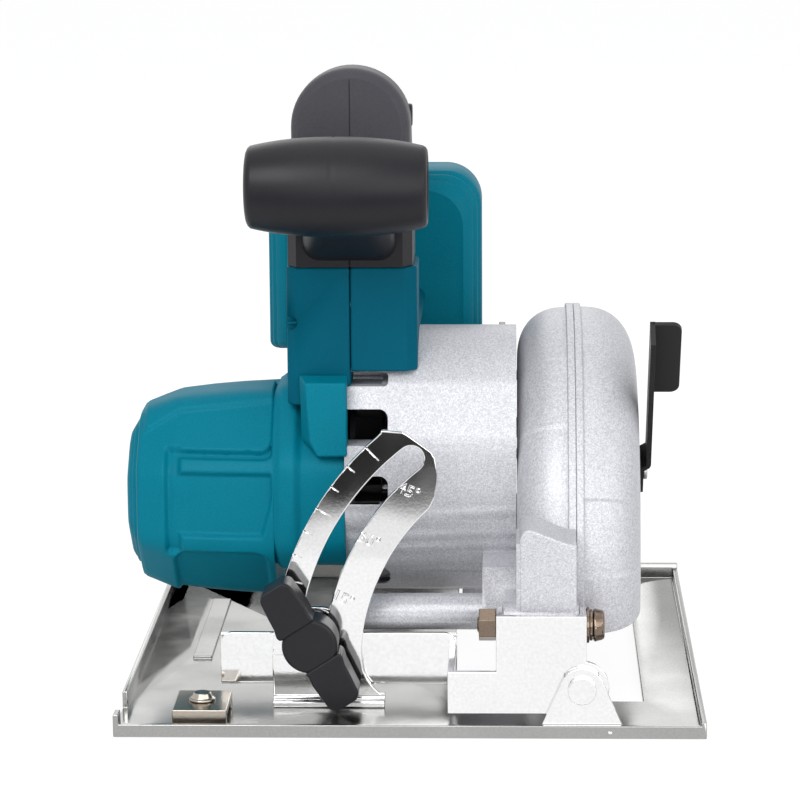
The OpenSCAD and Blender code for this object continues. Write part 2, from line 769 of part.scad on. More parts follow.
module spindle_gear() {
    color("silver")
    difference() {
        plate_x(guard_x0 - 15.7, guard_x0 - 8.2) translate([spindle_y, spindle_z]) {
            rotate(mesh_a + 180 / wheel_teeth) gear_outline(wheel_teeth, gear_m, 0.4);
        }
        rod_x(guard_x0 - 17, guard_x0 - 7, spindle_r + 0.02, spindle_y, spindle_z);
        // holes that the shaft lock pin drops into
        for (i = [0:3]) translate([0, spindle_y, spindle_z]) rotate([i * 90 + 45, 0, 0]) {
            rod_x(guard_x0 - 17, guard_x0 - 7, lock_r + 0.4, lock_at, 0);
        }
    }
}

module motor_bearings() {
    color("gainsboro")
    for (b = [[motor_x0 + 2, motor_x0 + 8, 6.5], [case_x0 + 24, case_x0 + 30, 11]]) difference() {
        rod_x(b[0], b[1], b[2], motor_y, motor_z);
        rod_x(b[0] - 1, b[1] + 1, shaft_r + run, motor_y, motor_z);
    }
}

module spindle_bearings() {
    color("gainsboro")
    for (b = [[guard_x0 - 24.8, guard_x0 - 17.4, 9.5], [guard_x0 - 6, guard_x0 + 3.9, 13]]) difference() {
        rod_x(b[0], b[1], b[2], spindle_y, spindle_z);
        rod_x(b[0] - 1, b[1] + 1, spindle_r + run, spindle_y, spindle_z);
    }
}

module spindle() {
    color("silver")
    difference() {
        rod_x(guard_x0 - 24.6, bevel_x - 1.6, spindle_r, spindle_y, spindle_z);
        rod_x(bevel_x - 16, bevel_x, 2.55, spindle_y, spindle_z);
    }
}

module inner_flange() {
    color("silver")
    difference() {
        union() {
            rod_x(bevel_x - 6, bevel_x - 1.2, 15, spindle_y, spindle_z);
            rod_x(bevel_x - 1.3, bevel_x + 0.4, 9.9, spindle_y, spindle_z);
        }
        rod_x(bevel_x - 7, bevel_x + 1, spindle_r + 0.02, spindle_y, spindle_z);
    }
}

module outer_flange() {
    color("silver")
    difference() {
        rod_x(bevel_x + 0.5, bevel_x + 3.6, 15, spindle_y, spindle_z);
        rod_x(bevel_x - 1, bevel_x + 4, 2.6, spindle_y, spindle_z);
    }
}

module blade_bolt() {
    color("dimgray")
    union() {
        rod_x(bevel_x - 14, bevel_x + 3.7, 2.5, spindle_y, spindle_z);
        hex_x(bevel_x + 3.7, bevel_x + 8.4, 10, spindle_y, spindle_z);
    }
}

module shaft_lock() {
    color("#26262a")
    union() {
        rod_x(guard_x0 - 24.5, guard_x0 - 16, lock_r, lock_y, lock_z);
        rod_x(guard_x0 - 29, guard_x0 - 24.4, 4.4, lock_y, lock_z);
    }
}

// ---- Handle ----

// Side outline of the teal front post and the rail below the hand, from height z0
module body_outline(z0) {
    polygon([[post_y0, z0], [post_y0, post_z1], [post_y1, post_z1], [post_y1, rail_z1],
             [holder_y0 + 1, rail_z1], [holder_y0 + 1, rail_z0], [post_y1 - 4, rail_z0], [post_y1 - 8, z0]]);
}

// Hollow of the front post
module post_hollow(z0) {
    polygon([[post_y0 + wall, z0 + wall], [post_y0 + wall, post_z1 - wall],
             [post_y1 - wall, post_z1 - wall], [post_y1 - wall, z0 + wall + 18]]);
}

// Screw holes and the room for the gear housing, common to both halves
module body_cuts() {
    for (p = body_screw_at) rod_x(hx - 30, hx + 30, 1.9, p[0], p[1]);
    plate_x(case_x0 - gap, guard_x0) case_outline(gap);
}

body_screw_at = [[post_y0 + 6, post_z1 - 12], [holder_y0 - 6, rail_z0 + 4.6]];

module body_left() {
    color("teal") difference() {
        plate_x(hx - 23, hx - 0.05) body_outline(foot_z);
        plate_x(hx - 23 + wall, hx + 1) post_hollow(foot_z);
        body_cuts();
    }
}

module body_right() {
    color("teal") difference() {
        plate_x(hx + 0.05, hx + 24) body_outline(post_z0);
        plate_x(hx - 1, hx + 24 - wall) post_hollow(post_z0);
        body_cuts();
    }
}

module handle_overmould() {
    color("#26262a")
    difference() {
        union() {
            // front root above the post
            block([hx - grip_w / 2, post_y0 + 1, post_z1], [hx + grip_w / 2, post_y1 + 4, post_z1 + 18]);
            // main bow
            hull() {
                rod_y(-26, -24, grip_w / 2, hx, 199.4);
                rod_y(22, 24, grip_w / 2 - 1, hx, 202.8);
                block([hx - grip_w / 2, -28, 168], [hx + grip_w / 2, -4, 170]);
                block([hx - grip_w / 2 + 2, 22, 186], [hx + grip_w / 2 - 2, 24, 188]);
            }
            hull() {
                rod_y(22, 24, grip_w / 2 - 1, hx, 202.8);
                block([hx - grip_w / 2 + 2, 22, 186], [hx + grip_w / 2 - 2, 24, 188]);
                block([hx - grip_w / 2 + 2, holder_y0 - 2, 164], [hx + grip_w / 2 - 2, holder_y0, 190]);
            }
            hull() {
                block([hx - grip_w / 2 + 2, holder_y0 - 2, 164], [hx + grip_w / 2 - 2, holder_y0, 190]);
                block([hx - grip_w / 2 + 2, holder_y1 - 12, holder_z1],
                      [hx + grip_w / 2 - 2, holder_y1 - 8, holder_z1 + 2]);
            }
            // neck that carries the front grip
            hull() {
                block([hx - 17, post_y0 - 1, post_z1 + 4], [hx + 17, post_y0 + 3, post_z1 + 32]);
                block([hx - 13, -72, 178], [hx + 13, -70, 194]);
            }
        }
        // pocket of the trigger and the switch
        block([hx - 7.4, -8, 160], [hx + 7.4, 36, 196]);
        // hole of the lock-off button
        rod_x(hx - 30, hx + 30, 4.3, 4, 203);
        // seat of the front grip
        rod_x(hx - 40, hx + 40, front_grip_r - 3.9, -75, 187);
        block([hx - 50, holder_y0 - 0.02, 90], [hx + 50, holder_y1 + 1, holder_z1 + 0.02]);
    }
}

module front_grip() {
    color("#26262a")
    difference() {
        union() {
            translate([-56.3, -75, 187]) rotate([0, 90, 0]) rotate_extrude($fn = 72) {
                polygon([[0, 0], [13, 0], [14.6, 1.4], [15.4, 8], [front_grip_r - 0.3, 20],
                         [front_grip_r, front_grip_l / 2], [front_grip_r - 0.3, front_grip_l - 20],
                         [15.4, front_grip_l - 8], [14.6, front_grip_l - 1.4],
                         [13, front_grip_l], [0, front_grip_l]]);
            }
        }
        block([hx - 17.3, -75 + front_grip_r - 4.2, 160], [hx + 17.3, -50, 214]);
        rod_x(hx - 14.6, hx + 14.6, front_grip_r + 2, -75, 187);
    }
    // core that the neck clamps round
    color("#26262a") rod_x(hx - 14.7, hx + 14.7, front_grip_r - 4, -75, 187);
}

module battery_holder() {
    color("teal")
    difference() {
        union() {
            plate_y(holder_y0 + 2, holder_y1) soft_rect([holder_x0, holder_z0], [holder_x1, holder_z1], 12);
            plate_y(holder_y0, holder_y0 + 2.1)
                soft_rect([holder_x0 + 4, holder_z0 + 4], [holder_x1 - 4, holder_z1 - 4], 9);
        }
        // slide-in space for the battery, with a rail at each side
        block([holder_x0 + 8, holder_y0 + 16, holder_z0 - 1], [holder_x1 - 8, holder_y1 - 8, holder_z1 - 14]);
        block([holder_x0 + 13, holder_y0 + 16, holder_z0 - 1],
              [holder_x1 - 13, holder_y1 + 1, holder_z1 - 14]);
        block([hx - 24, holder_y0 - 1, rail_z0 - 0.3], [hx + 25, holder_y0 + 1.3, rail_z1 + 0.3]);
    }
}

module battery_contacts() {
    color("goldenrod")
    for (x = [-14, -5, 5, 14]) {
        block([holder_xc + x - 0.5, holder_y0 + 16.05, holder_z1 - 34],
              [holder_xc + x + 0.5, holder_y0 + 24, holder_z1 - 18]);
    }
}

module trigger() {
    color("#1c1c1e")
    block([hx - 7, 0, 168], [hx + 7, 24, 181]);
}

module lock_off_button() {
    color("#1c1c1e")
    rod_x(hx - grip_w / 2, hx + grip_w / 2, 4.2, 4, 203);
}

module switch_module() {
    color("dimgray")
    block([hx - 7.2, -2, 186], [hx + 7.2, 34, 195.8]);
}

module housing_screws() {
    color("dimgray")
    for (p = body_screw_at) rod_x(hx - 22.6, hx + 14, 1.85, p[0], p[1]);
}

base_plate();
bevel_quadrant();
front_pivot_lug();
rear_pivot_lug();
pivot_rivets();
fence_strap();
fence_screw();
front_bracket();
bracket_arm();
rear_bracket();
depth_guide();
clamp_bolt();
wing_knob();
pivot_bolt();
pivot_nut();
pivot_washers();
gear_housing();
upper_guard_inner();
upper_guard_outer();
guard_screws();
lower_guard();
guard_lever();
lever_screw();
guard_spring();
depth_bolt();
depth_lever();
motor_housing();
housing_flange();
motor_end_cap();
motor_can();
armature();
motor_shaft();
commutator();
brush_holders();
motor_fan();
pinion();
motor_bearings();
spindle();
spindle_gear();
spindle_bearings();
inner_flange();
outer_flange();
blade_bolt();
shaft_lock();
body_left();
body_right();
handle_overmould();
front_grip();
battery_holder();
battery_contacts();
trigger();
lock_off_button();
switch_module();
housing_screws();
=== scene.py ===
import json
import math

import bmesh
import bpy
import numpy as np
from mathutils import Matrix, Vector


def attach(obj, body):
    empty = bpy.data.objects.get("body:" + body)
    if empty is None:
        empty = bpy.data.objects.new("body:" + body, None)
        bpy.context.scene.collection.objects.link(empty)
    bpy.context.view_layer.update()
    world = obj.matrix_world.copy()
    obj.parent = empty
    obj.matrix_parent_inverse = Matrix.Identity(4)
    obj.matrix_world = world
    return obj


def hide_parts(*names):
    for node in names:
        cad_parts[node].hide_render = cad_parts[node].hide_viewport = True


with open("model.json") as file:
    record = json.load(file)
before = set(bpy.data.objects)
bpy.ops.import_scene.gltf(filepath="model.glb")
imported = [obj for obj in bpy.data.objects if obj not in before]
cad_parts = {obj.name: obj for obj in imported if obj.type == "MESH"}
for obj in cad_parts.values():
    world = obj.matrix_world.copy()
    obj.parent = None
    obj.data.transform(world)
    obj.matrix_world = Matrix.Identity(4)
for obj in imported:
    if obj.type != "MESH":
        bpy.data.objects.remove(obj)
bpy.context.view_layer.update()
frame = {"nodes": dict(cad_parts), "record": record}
nodes = frame["nodes"]
body_of = {node: body for body, members in frame["record"]["behaviour"]["bodies"].items()
           for node in members}
scene = bpy.context.scene
MM = 0.001

# ---- Camera, floor and light ----
# The saw stands on a pale floor in soft studio light, seen from the front and a little above.
LENS = 148.5                      # mm, on a 36 mm sensor
CAMERA_AT = (0.0372366, -1.2016659, 0.3367364)
CAMERA_AXES = ((0.999372, 0.034749, -0.006924), (0.0, 0.195427, 0.980718),
               (0.035432, -0.980102, 0.195304))
camera = bpy.data.objects.new("camera", bpy.data.cameras.new("camera"))
camera.data.lens = LENS
camera.data.sensor_width = 36.0
camera.data.clip_end = 60.0
axes = Matrix(CAMERA_AXES).transposed().to_4x4()
camera.matrix_world = Matrix.Translation(CAMERA_AT) @ axes
scene.collection.objects.link(camera)
scene.camera = camera
scene.view_settings.view_transform = "Standard"


def seen_directly(tree):
    """1 for rays from the camera, off a glossy surface or through a clear one, and 0 for the rest.
    1 for rays from the camera, off a glossy surface or through a clear one, and 0 for the rest."""
    path = tree.nodes.new("ShaderNodeLightPath")
    total = path.outputs["Is Camera Ray"]
    for name in ("Is Glossy Ray", "Is Transmission Ray"):
        add = tree.nodes.new("ShaderNodeMath")
        add.operation = "MAXIMUM"
        tree.links.new(total, add.inputs[0])
        tree.links.new(path.outputs[name], add.inputs[1])
        total = add.outputs[0]
    return total


WORLD_LIGHT = 0.42
world = bpy.data.worlds.new("studio")
scene.world = world
world.use_nodes = True
tree = world.node_tree
tree.nodes.clear()
lit = tree.nodes.new("ShaderNodeBackground")
lit.inputs["Color"].default_value = (0.93, 0.96, 1.0, 1)
lit.inputs["Strength"].default_value = WORLD_LIGHT
white = tree.nodes.new("ShaderNodeBackground")
white.inputs["Color"].default_value = (1, 1, 1, 1)
white.inputs["Strength"].default_value = 1.0
mix = tree.nodes.new("ShaderNodeMixShader")
out = tree.nodes.new("ShaderNodeOutputWorld")
tree.links.new(seen_directly(tree), mix.inputs[0])
tree.links.new(lit.outputs[0], mix.inputs[1])
tree.links.new(white.outputs[0], mix.inputs[2])
tree.links.new(mix.outputs[0], out.inputs["Surface"])

FLOOR_HALF = 12.0
FLOOR_Z = -0.0003
floor_mesh = bpy.data.meshes.new("floor")
floor_mesh.from_pydata([(x, y, FLOOR_Z) for x, y in ((-FLOOR_HALF, -FLOOR_HALF),
                        (FLOOR_HALF, -FLOOR_HALF), (FLOOR_HALF, FLOOR_HALF),
                        (-FLOOR_HALF, FLOOR_HALF))], [], [(0, 1, 2, 3)])
floor = bpy.data.objects.new("floor", floor_mesh)
scene.collection.objects.link(floor)
floor_paint = bpy.data.materials.new("pale_floor")
floor_paint.use_nodes = True
tree = floor_paint.node_tree
tree.nodes.clear()
diffuse = tree.nodes.new("ShaderNodeBsdfDiffuse")
diffuse.inputs["Color"].default_value = (0.80, 0.80, 0.80, 1)
faint = tree.nodes.new("ShaderNodeBsdfDiffuse")
faint.inputs["Color"].default_value = (0.22, 0.22, 0.22, 1)
glow = tree.nodes.new("ShaderNodeEmission")
glow.inputs["Color"].default_value = (1, 1, 1, 1)
glow.inputs["Strength"].default_value = 0.9
add = tree.nodes.new("ShaderNodeAddShader")
mix = tree.nodes.new("ShaderNodeMixShader")
out = tree.nodes.new("ShaderNodeOutputMaterial")
tree.links.new(faint.outputs[0], add.inputs[0])
tree.links.new(glow.outputs[0], add.inputs[1])
tree.links.new(seen_directly(tree), mix.inputs[0])
tree.links.new(diffuse.outputs[0], mix.inputs[1])
tree.links.new(add.outputs[0], mix.inputs[2])
tree.links.new(mix.outputs[0], out.inputs["Surface"])
floor_mesh.materials.append(floor_paint)

# name, place, size in metres, power in watts
LAMPS = (("key", (-0.5, -1.2, 1.1), 0.8, 14.0), ("front", (0.45, -1.6, 0.45), 1.1, 8.0),
         ("fill", (1.1, -0.7, 0.55), 0.8, 4.0), ("top", (0.1, 0.1, 1.5), 1.0, 2.0),
         ("back", (-0.2, 1.3, 0.9), 0.9, 3.0))
AIM = Vector((0.0, 0.0, 0.09))
for name, place, size, power in LAMPS:
    lamp = bpy.data.lights.new(name, "AREA")
    lamp.size = size
    lamp.energy = power
    lamp_object = bpy.data.objects.new(name, lamp)
    lamp_object.location = place
    lamp_object.rotation_euler = (AIM - Vector(place)).to_track_quat("-Z", "Y").to_euler()
    scene.collection.objects.link(lamp_object)

# A dark card lies on the floor in front. Only reflections show it: it gives the plated sheet its
# dark upper band.
CARD_FRONT, CARD_BACK, CARD_HALF = -0.95, -0.30, 0.42
CARD_FADE = (-0.42, -0.35)        # Y between which the card turns from dark to light, m
CARD_GLOW = (0.03, 1.0)           # its brightness at either end
card_mesh = bpy.data.meshes.new("dark_card")
card_mesh.from_pydata([(-CARD_HALF, CARD_FRONT, 0.0005), (CARD_HALF, CARD_FRONT, 0.0005),
                       (CARD_HALF, CARD_BACK, 0.0005), (-CARD_HALF, CARD_BACK, 0.0005)], [],
                      [(0, 1, 2, 3)])
card = bpy.data.objects.new("dark_card", card_mesh)
scene.collection.objects.link(card)
for sight in ("camera", "diffuse", "transmission", "volume_scatter", "shadow"):
    setattr(card, "visible_" + sight, False)
card_paint = bpy.data.materials.new("dark_card")
card_paint.use_nodes = True
tree = card_paint.node_tree
tree.nodes.clear()
split = tree.nodes.new("ShaderNodeSeparateXYZ")
shade = tree.nodes.new("ShaderNodeMapRange")
shade.interpolation_type = "SMOOTHSTEP"
shade.inputs["From Min"].default_value, shade.inputs["From Max"].default_value = CARD_FADE
shade.inputs["To Min"].default_value, shade.inputs["To Max"].default_value = CARD_GLOW
glow = tree.nodes.new("ShaderNodeEmission")
out = tree.nodes.new("ShaderNodeOutputMaterial")
tree.links.new(tree.nodes.new("ShaderNodeTexCoord").outputs["Object"], split.inputs[0])
tree.links.new(split.outputs["Y"], shade.inputs["Value"])
tree.links.new(shade.outputs["Result"], glow.inputs["Strength"])
tree.links.new(glow.outputs[0], out.inputs["Surface"])
card_mesh.materials.append(card_paint)


# ---- Base plate ----
# A nickel-plated steel sheet with turned-up edges, a long window for the blade and a pressed rib.
def finish(name, color, roughness, metallic=0.0, grain=0.0003, mottle=0.06, bump=0.15,
           depth=0.00004, wave=0.0, wave_size=0.02, rough_spread=0.06, specular=0.5):
    """A procedural finish on Object coordinates. A fine noise of size grain shades the colour by
    mottle and gives the bump, a broad noise shades it a little more and moves the roughness, and
    wave adds a slow waviness such as rolled sheet has."""
    paint = bpy.data.materials.new(name)
    paint.use_nodes = True
    tree = paint.node_tree
    shader = tree.nodes["Principled BSDF"]
    shader.inputs["Metallic"].default_value = metallic
    shader.inputs["Specular IOR Level"].default_value = specular
    place = tree.nodes.new("ShaderNodeTexCoord").outputs["Object"]

    def noise(size, detail):
        node = tree.nodes.new("ShaderNodeTexNoise")
        node.inputs["Scale"].default_value = 1.0 / size
        node.inputs["Detail"].default_value = detail
        tree.links.new(place, node.inputs["Vector"])
        return node.outputs["Fac"]

    def spread(value, low, high):
        node = tree.nodes.new("ShaderNodeMapRange")
        node.inputs["From Min"].default_value = 0.3
        node.inputs["From Max"].default_value = 0.7
        node.inputs["To Min"].default_value = low
        node.inputs["To Max"].default_value = high
        tree.links.new(value, node.inputs["Value"])
        return node.outputs["Result"]

    fine = noise(grain, 2.0)
    broad = noise(0.03, 3.0)
    shades = tree.nodes.new("ShaderNodeMath")
    shades.operation = "MULTIPLY"
    tree.links.new(spread(fine, 1 - mottle, 1 + mottle), shades.inputs[0])
    tree.links.new(spread(broad, 1 - mottle * 0.5, 1 + mottle * 0.5), shades.inputs[1])
    tint = tree.nodes.new("ShaderNodeVectorMath")
    tint.operation = "SCALE"
    tint.inputs[0].default_value = color
    tree.links.new(shades.outputs[0], tint.inputs["Scale"])
    tree.links.new(tint.outputs[0], shader.inputs["Base Color"])
    tree.links.new(spread(broad, max(roughness - rough_spread, 0.03), roughness + rough_spread),
                   shader.inputs["Roughness"])
    normal = None
    if wave:
        ripple = tree.nodes.new("ShaderNodeBump")
        ripple.inputs["Strength"].default_value = wave
        ripple.inputs["Distance"].default_value = 0.002
        tree.links.new(noise(wave_size, 1.0), ripple.inputs["Height"])
        normal = ripple.outputs["Normal"]
    if bump:
        pits = tree.nodes.new("ShaderNodeBump")
        pits.inputs["Strength"].default_value = bump
        pits.inputs["Distance"].default_value = depth
        tree.links.new(fine, pits.inputs["Height"])
        if normal:
            tree.links.new(normal, pits.inputs["Normal"])
        normal = pits.outputs["Normal"]
    if normal:
        tree.links.new(normal, shader.inputs["Normal"])
    return paint


# The same nickel plating as bright_plate, painted far darker for the base plate and the parts set
# back: painted shade.
nickel = finish("shaded_nickel_plate", (0.36, 0.36, 0.35), 0.18, metallic=1.0, grain=0.0009,
                mottle=0.05, bump=0.12, wave=0.10, wave_size=0.03, rough_spread=0.08)


def round_edges(piece, width, segments=2, limit=35):
    """Rounds the edges that are sharper than limit degrees, by width mm."""
    edge = piece.modifiers.new("edge", "BEVEL")
    edge.width = width * MM
    edge.segments = segments
    edge.limit_method = "ANGLE"
    edge.angle_limit = math.radians(limit)
    edge.harden_normals = True


def rounded_copy(node, width, paint, segments=2, limit=40, name=None, smooth=32):
    """A copy of a CAD node for show: its loose triangles are merged and joined into flat faces, and
    its edges get a rounding of that width in mm."""
    name = name or node + "_shape"
    mesh = nodes[node].data.copy()
    mesh.name = name
    work = bmesh.new()
    work.from_mesh(mesh)
    bmesh.ops.remove_doubles(work, verts=work.verts, dist=2e-6)
    bmesh.ops.dissolve_limit(work, angle_limit=math.radians(0.8), verts=work.verts,
                             edges=work.edges)
    work.to_mesh(mesh)
    work.free()
    mesh.materials.clear()
    mesh.materials.append(paint)
    mesh.shade_smooth()
    mesh.set_sharp_from_angle(angle=math.radians(smooth))
    piece = bpy.data.objects.new(name, mesh)
    scene.collection.objects.link(piece)
    round_edges(piece, width, segments, limit)
    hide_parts(node)
    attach(piece, body_of[node])
    return piece


# The base plate wears the darker nickel: painted shade.
base = rounded_copy("base_plate", 0.7, nickel)


# ---- Bevel quadrant ----
# A stamped, nickel-plated plate welded to the base. Its slot guides the clamp bolt, and lines every
# five degrees and three numbers are struck into its face.
PIVOT = np.array((59.6, 16.8))       # X and Z of the bevel pivot, mm
QUAD_R = 109.0
QUAD_IN_R = 77.6
SLOT_R = 95.3
SLOT_HALF = 4.5
SLOT_ANGLES = (6.5, 51.5)
QUAD_Y = (-75.6, -73.4)


def arc(centre, radius, start, end, count):
    """Points on a circle from angle start to angle end, in degrees: centre + radius * (cos, sin).
    Points on a circle from angle start to angle end, in degrees: centre + radius * (cos, sin)."""
    a = np.radians(np.linspace(start, end, count))
    return np.stack([centre[0] + radius * np.cos(a), centre[1] + radius * np.sin(a)], axis=1)


def solid(name, points, faces, smooth=32):
    """An object from points in mm and faces, with doubles merged, normals outwards and edges over
    the smooth angle left sharp."""
    mesh = bpy.data.meshes.new(name)
    mesh.from_pydata((np.asarray(points, dtype=float) * MM).tolist(), [], faces)
    work = bmesh.new()
    work.from_mesh(mesh)
    bmesh.ops.remove_doubles(work, verts=work.verts, dist=1e-6)
    bmesh.ops.recalc_face_normals(work, faces=work.faces)
    work.to_mesh(mesh)
    work.free()
    mesh.shade_smooth()
    mesh.set_sharp_from_angle(angle=math.radians(smooth))
    piece = bpy.data.objects.new(name, mesh)
    scene.collection.objects.link(piece)
    return piece


PLACES = {"x": lambda a, b, c: (c, a, b), "y": lambda a, b, c: (a, c, b),
          "z": lambda a, b, c: (a, b, c)}


def prism(name, outline, axis, start, end, smooth=32):
    """A flat outline in mm carried straight along an axis from start to end, with a face at each
    end. For x the outline is in Y and Z, for y in X and Z, and for z in X and Y."""
    outline = np.asarray(outline, dtype=float)
    count = len(outline)
    rings = [np.stack(PLACES[axis](outline[:, 0], outline[:, 1], np.full(count, c)), axis=1)
             for c in (start, end)]
    sides = [(i, (i + 1) % count, count + (i + 1) % count, count + i) for i in range(count)]
    ends = [tuple(range(count - 1, -1, -1)), tuple(range(count, 2 * count))]
    return solid(name, np.concatenate(rings), sides + ends, smooth)


def settle(piece, smooth=32):
    """Puts what the piece's modifiers make into its mesh, and clears them."""
    graph = bpy.context.evaluated_depsgraph_get()
    mesh = bpy.data.meshes.new_from_object(piece.evaluated_get(graph))
    piece.modifiers.clear()
    old = piece.data
    piece.data = mesh
    bpy.data.meshes.remove(old)
    mesh.name = piece.name
    mesh.shade_smooth()
    mesh.set_sharp_from_angle(angle=math.radians(smooth))


def cut(piece, *cutters, smooth=32):
    """Takes the cutters out of the piece, and removes them."""
    for cutter in cutters:
        hole = piece.modifiers.new("cut", "BOOLEAN")
        hole.operation = "DIFFERENCE"
        hole.solver = "EXACT"
        hole.object = cutter
    settle(piece, smooth)
    for cutter in cutters:
        bpy.data.meshes.remove(cutter.data)


def dress(piece, paint, body, slot, *replaced):
    """Gives a finished piece its material, its body and the CAD nodes it stands for. slot is not
    used."""
    piece.data.materials.clear()
    piece.data.materials.append(paint)
    if replaced:
        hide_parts(*replaced)
    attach(piece, body)
    return piece


def mirrored_arc(radius, start, end, count):
    """Points of the quadrant at that radius: its angles rise from the left of the pivot."""
    points = arc((0, 0), radius, start, end, count)
    return np.stack([PIVOT[0] - points[:, 0], PIVOT[1] + points[:, 1]], axis=1)


outline = np.concatenate([
    [(-49.2, 5.2)], mirrored_arc(QUAD_R, -1, 50, 60),
    [(-10.2, 101.5), (-2.9, 100.9), (-1.2, 100.0), (7.4, 93.6), (8.6, 91.6), (9.4, 85.6),
     (8.6, 77.6)],
    mirrored_arc(QUAD_IN_R, 47, 4, 50),
    [(-17.7, 18.6), (-17.1, 14.8), (-15.8, 11.4), (-13.9, 8.6), (-11.8, 6.6), (-9.6, 5.2)]])
quadrant = prism("quadrant_plate", outline, "y", *QUAD_Y)
slot = np.concatenate([
    mirrored_arc(SLOT_R + SLOT_HALF, *SLOT_ANGLES, 40),
    [PIVOT + SLOT_R * np.array((-math.cos(a), math.sin(a)))
     + SLOT_HALF * np.array((-math.cos(a + t), math.sin(a + t)))
     for a in [math.radians(SLOT_ANGLES[1])] for t in np.linspace(0.2, math.pi - 0.2, 11)],
    mirrored_arc(SLOT_R - SLOT_HALF, *SLOT_ANGLES[::-1], 40),
    [PIVOT + SLOT_R * np.array((-math.cos(a), math.sin(a)))
     + SLOT_HALF * np.array((-math.cos(a + t), math.sin(a + t)))
     for a in [math.radians(SLOT_ANGLES[0])] for t in np.linspace(-math.pi + 0.2, -0.2, 11)]])
cut(quadrant, prism("slot", slot, "y", QUAD_Y[0] - 1, QUAD_Y[1] + 1))
round_edges(quadrant, 0.5)
settle(quadrant, smooth=12)
TICK_DEPTH = 0.45
TICK_FIRST, TICK_STEP = 2.0, 4.92    # degrees
TICK_INNER = (102.2, 105.4)          # inner radius of a long and of a short line
ticks = []
for i in range(10):
    angle = TICK_FIRST + TICK_STEP * i
    inner = TICK_INNER[0] if i % 3 == 0 else TICK_INNER[1]
    half = 0.3 / QUAD_R * 57.3       # half of a line 0.6 mm wide, in degrees
    corners = np.concatenate([mirrored_arc(inner, angle - half, angle + half, 2),
                              mirrored_arc(QUAD_R + 1, angle + half, angle - half, 2)])
    ticks.append(prism(f"tick_{i}", corners, "y", QUAD_Y[0] - 1, QUAD_Y[0] + TICK_DEPTH))
NUMBERS = (("15°", 16.0), ("30°", 31.3), ("45°", 46.2))
NUMBER_R = 87.0
NUMBER_TURN = -24.0
for text, angle in NUMBERS:
    curve = bpy.data.curves.new("number", "FONT")
    curve.body = text
    curve.size = 5.8 * MM
    curve.extrude = 0.02 * MM
    curve.offset = -0.12 * MM
    curve.bevel_depth = 0.3 * MM
    curve.bevel_resolution = 0
    curve.resolution_u = 3
    curve.align_x = "CENTER"
    curve.align_y = "CENTER"
    letters = bpy.data.objects.new("number", curve)
    scene.collection.objects.link(letters)
    graph = bpy.context.evaluated_depsgraph_get()
    mesh = bpy.data.meshes.new_from_object(letters.evaluated_get(graph))
    bpy.data.objects.remove(letters)
    at = mirrored_arc(NUMBER_R, angle, angle, 1)[0] * MM
    mesh.transform(Matrix.Translation((at[0], QUAD_Y[0] * MM, at[1]))
                   @ Matrix.Rotation(math.radians(-NUMBER_TURN), 4, "Y")
                   @ Matrix.Rotation(math.radians(90), 4, "X"))
    work = bmesh.new()
    work.from_mesh(mesh)
    bmesh.ops.remove_doubles(work, verts=work.verts, dist=1e-6)
    bmesh.ops.recalc_face_normals(work, faces=work.faces)
    work.to_mesh(mesh)
    work.free()
    cutter = bpy.data.objects.new("number", mesh)
    scene.collection.objects.link(cutter)
    ticks.append(cutter)
cut(quadrant, *ticks, smooth=12)
bright_plate = finish("bright_plate", (0.82, 0.82, 0.82), 0.08, metallic=1.0, grain=0.0012,
                      mottle=0.04, bump=0.10, wave=0.10, wave_size=0.03, rough_spread=0.05)
dress(quadrant, bright_plate, "base", "bright_nickel", "bevel_quadrant")


def thicken(path, thickness):
    """Outline of sheet bent along a path: the path moved half a thickness along its normal, and
    back again on the other side."""
    path = np.asarray(path, dtype=float)
    way = np.gradient(path, axis=0)
    way /= np.linalg.norm(way, axis=1)[:, None]
    side = np.stack([-way[:, 1], way[:, 0]], axis=1) * thickness / 2
    return np.concatenate([path + side, (path - side)[::-1]])


# The foot of the quadrant is turned towards the front in a round bend, and welded down.
FOOT_BEND = 2.4
foot_path = np.concatenate([
    [(QUAD_Y[0] + 1.1, 6.4), (QUAD_Y[0] + 1.1, 5.7)],
    arc((QUAD_Y[0] + 1.1 - FOOT_BEND, 3.1 + FOOT_BEND), FOOT_BEND, 0, -90, 12),
    [(-79.4, 3.1)]])
foot = prism("quadrant_foot", thicken(foot_path, 2.1), "x", -49.2, -9.4)
round_edges(foot, 0.5)
dress(foot, bright_plate, "base", "bright_nickel")


# ---- Bevel bracket, pivot lugs and rivets ----
# Bent steel plates that carry the saw. They tilt about two rivets in the lugs welded to the base.
# The rear lug, rear bracket and depth guide wear the darker nickel: painted shade.
for node, width, paint in (("front_pivot_lug", 0.7, bright_plate), ("rear_pivot_lug", 0.7, nickel),
                           ("front_bracket", 1.0, bright_plate), ("rear_bracket", 0.5, nickel),
                           ("depth_guide", 0.5, nickel), ("pivot_rivets", 0.6, bright_plate)):
    piece = rounded_copy(node, width, paint)

# The arm that reaches to the clamp bolt has a shallow crease along its middle.
ARM_Y = -71.4
arm_section = [(ARM_Y, 17.4), (ARM_Y + 0.9, 26.6), (ARM_Y + 1.5, 27.3), (ARM_Y + 2.2, 27.0),
               (ARM_Y + 2.2, 8.8), (ARM_Y + 0.6, 8.3), (ARM_Y - 0.3, 9.2)]
arm = prism("clamp_arm", arm_section, "x", -68.0, 16.0, smooth=20)
round_edges(arm, 0.25)
dress(arm, bright_plate, "bevel_frame", "bright_nickel")
ear = rounded_copy("bracket_arm", 0.4, bright_plate, name="clamp_ear")

# Weld bumps where the front lug meets the base.
draw = np.random.default_rng(7)


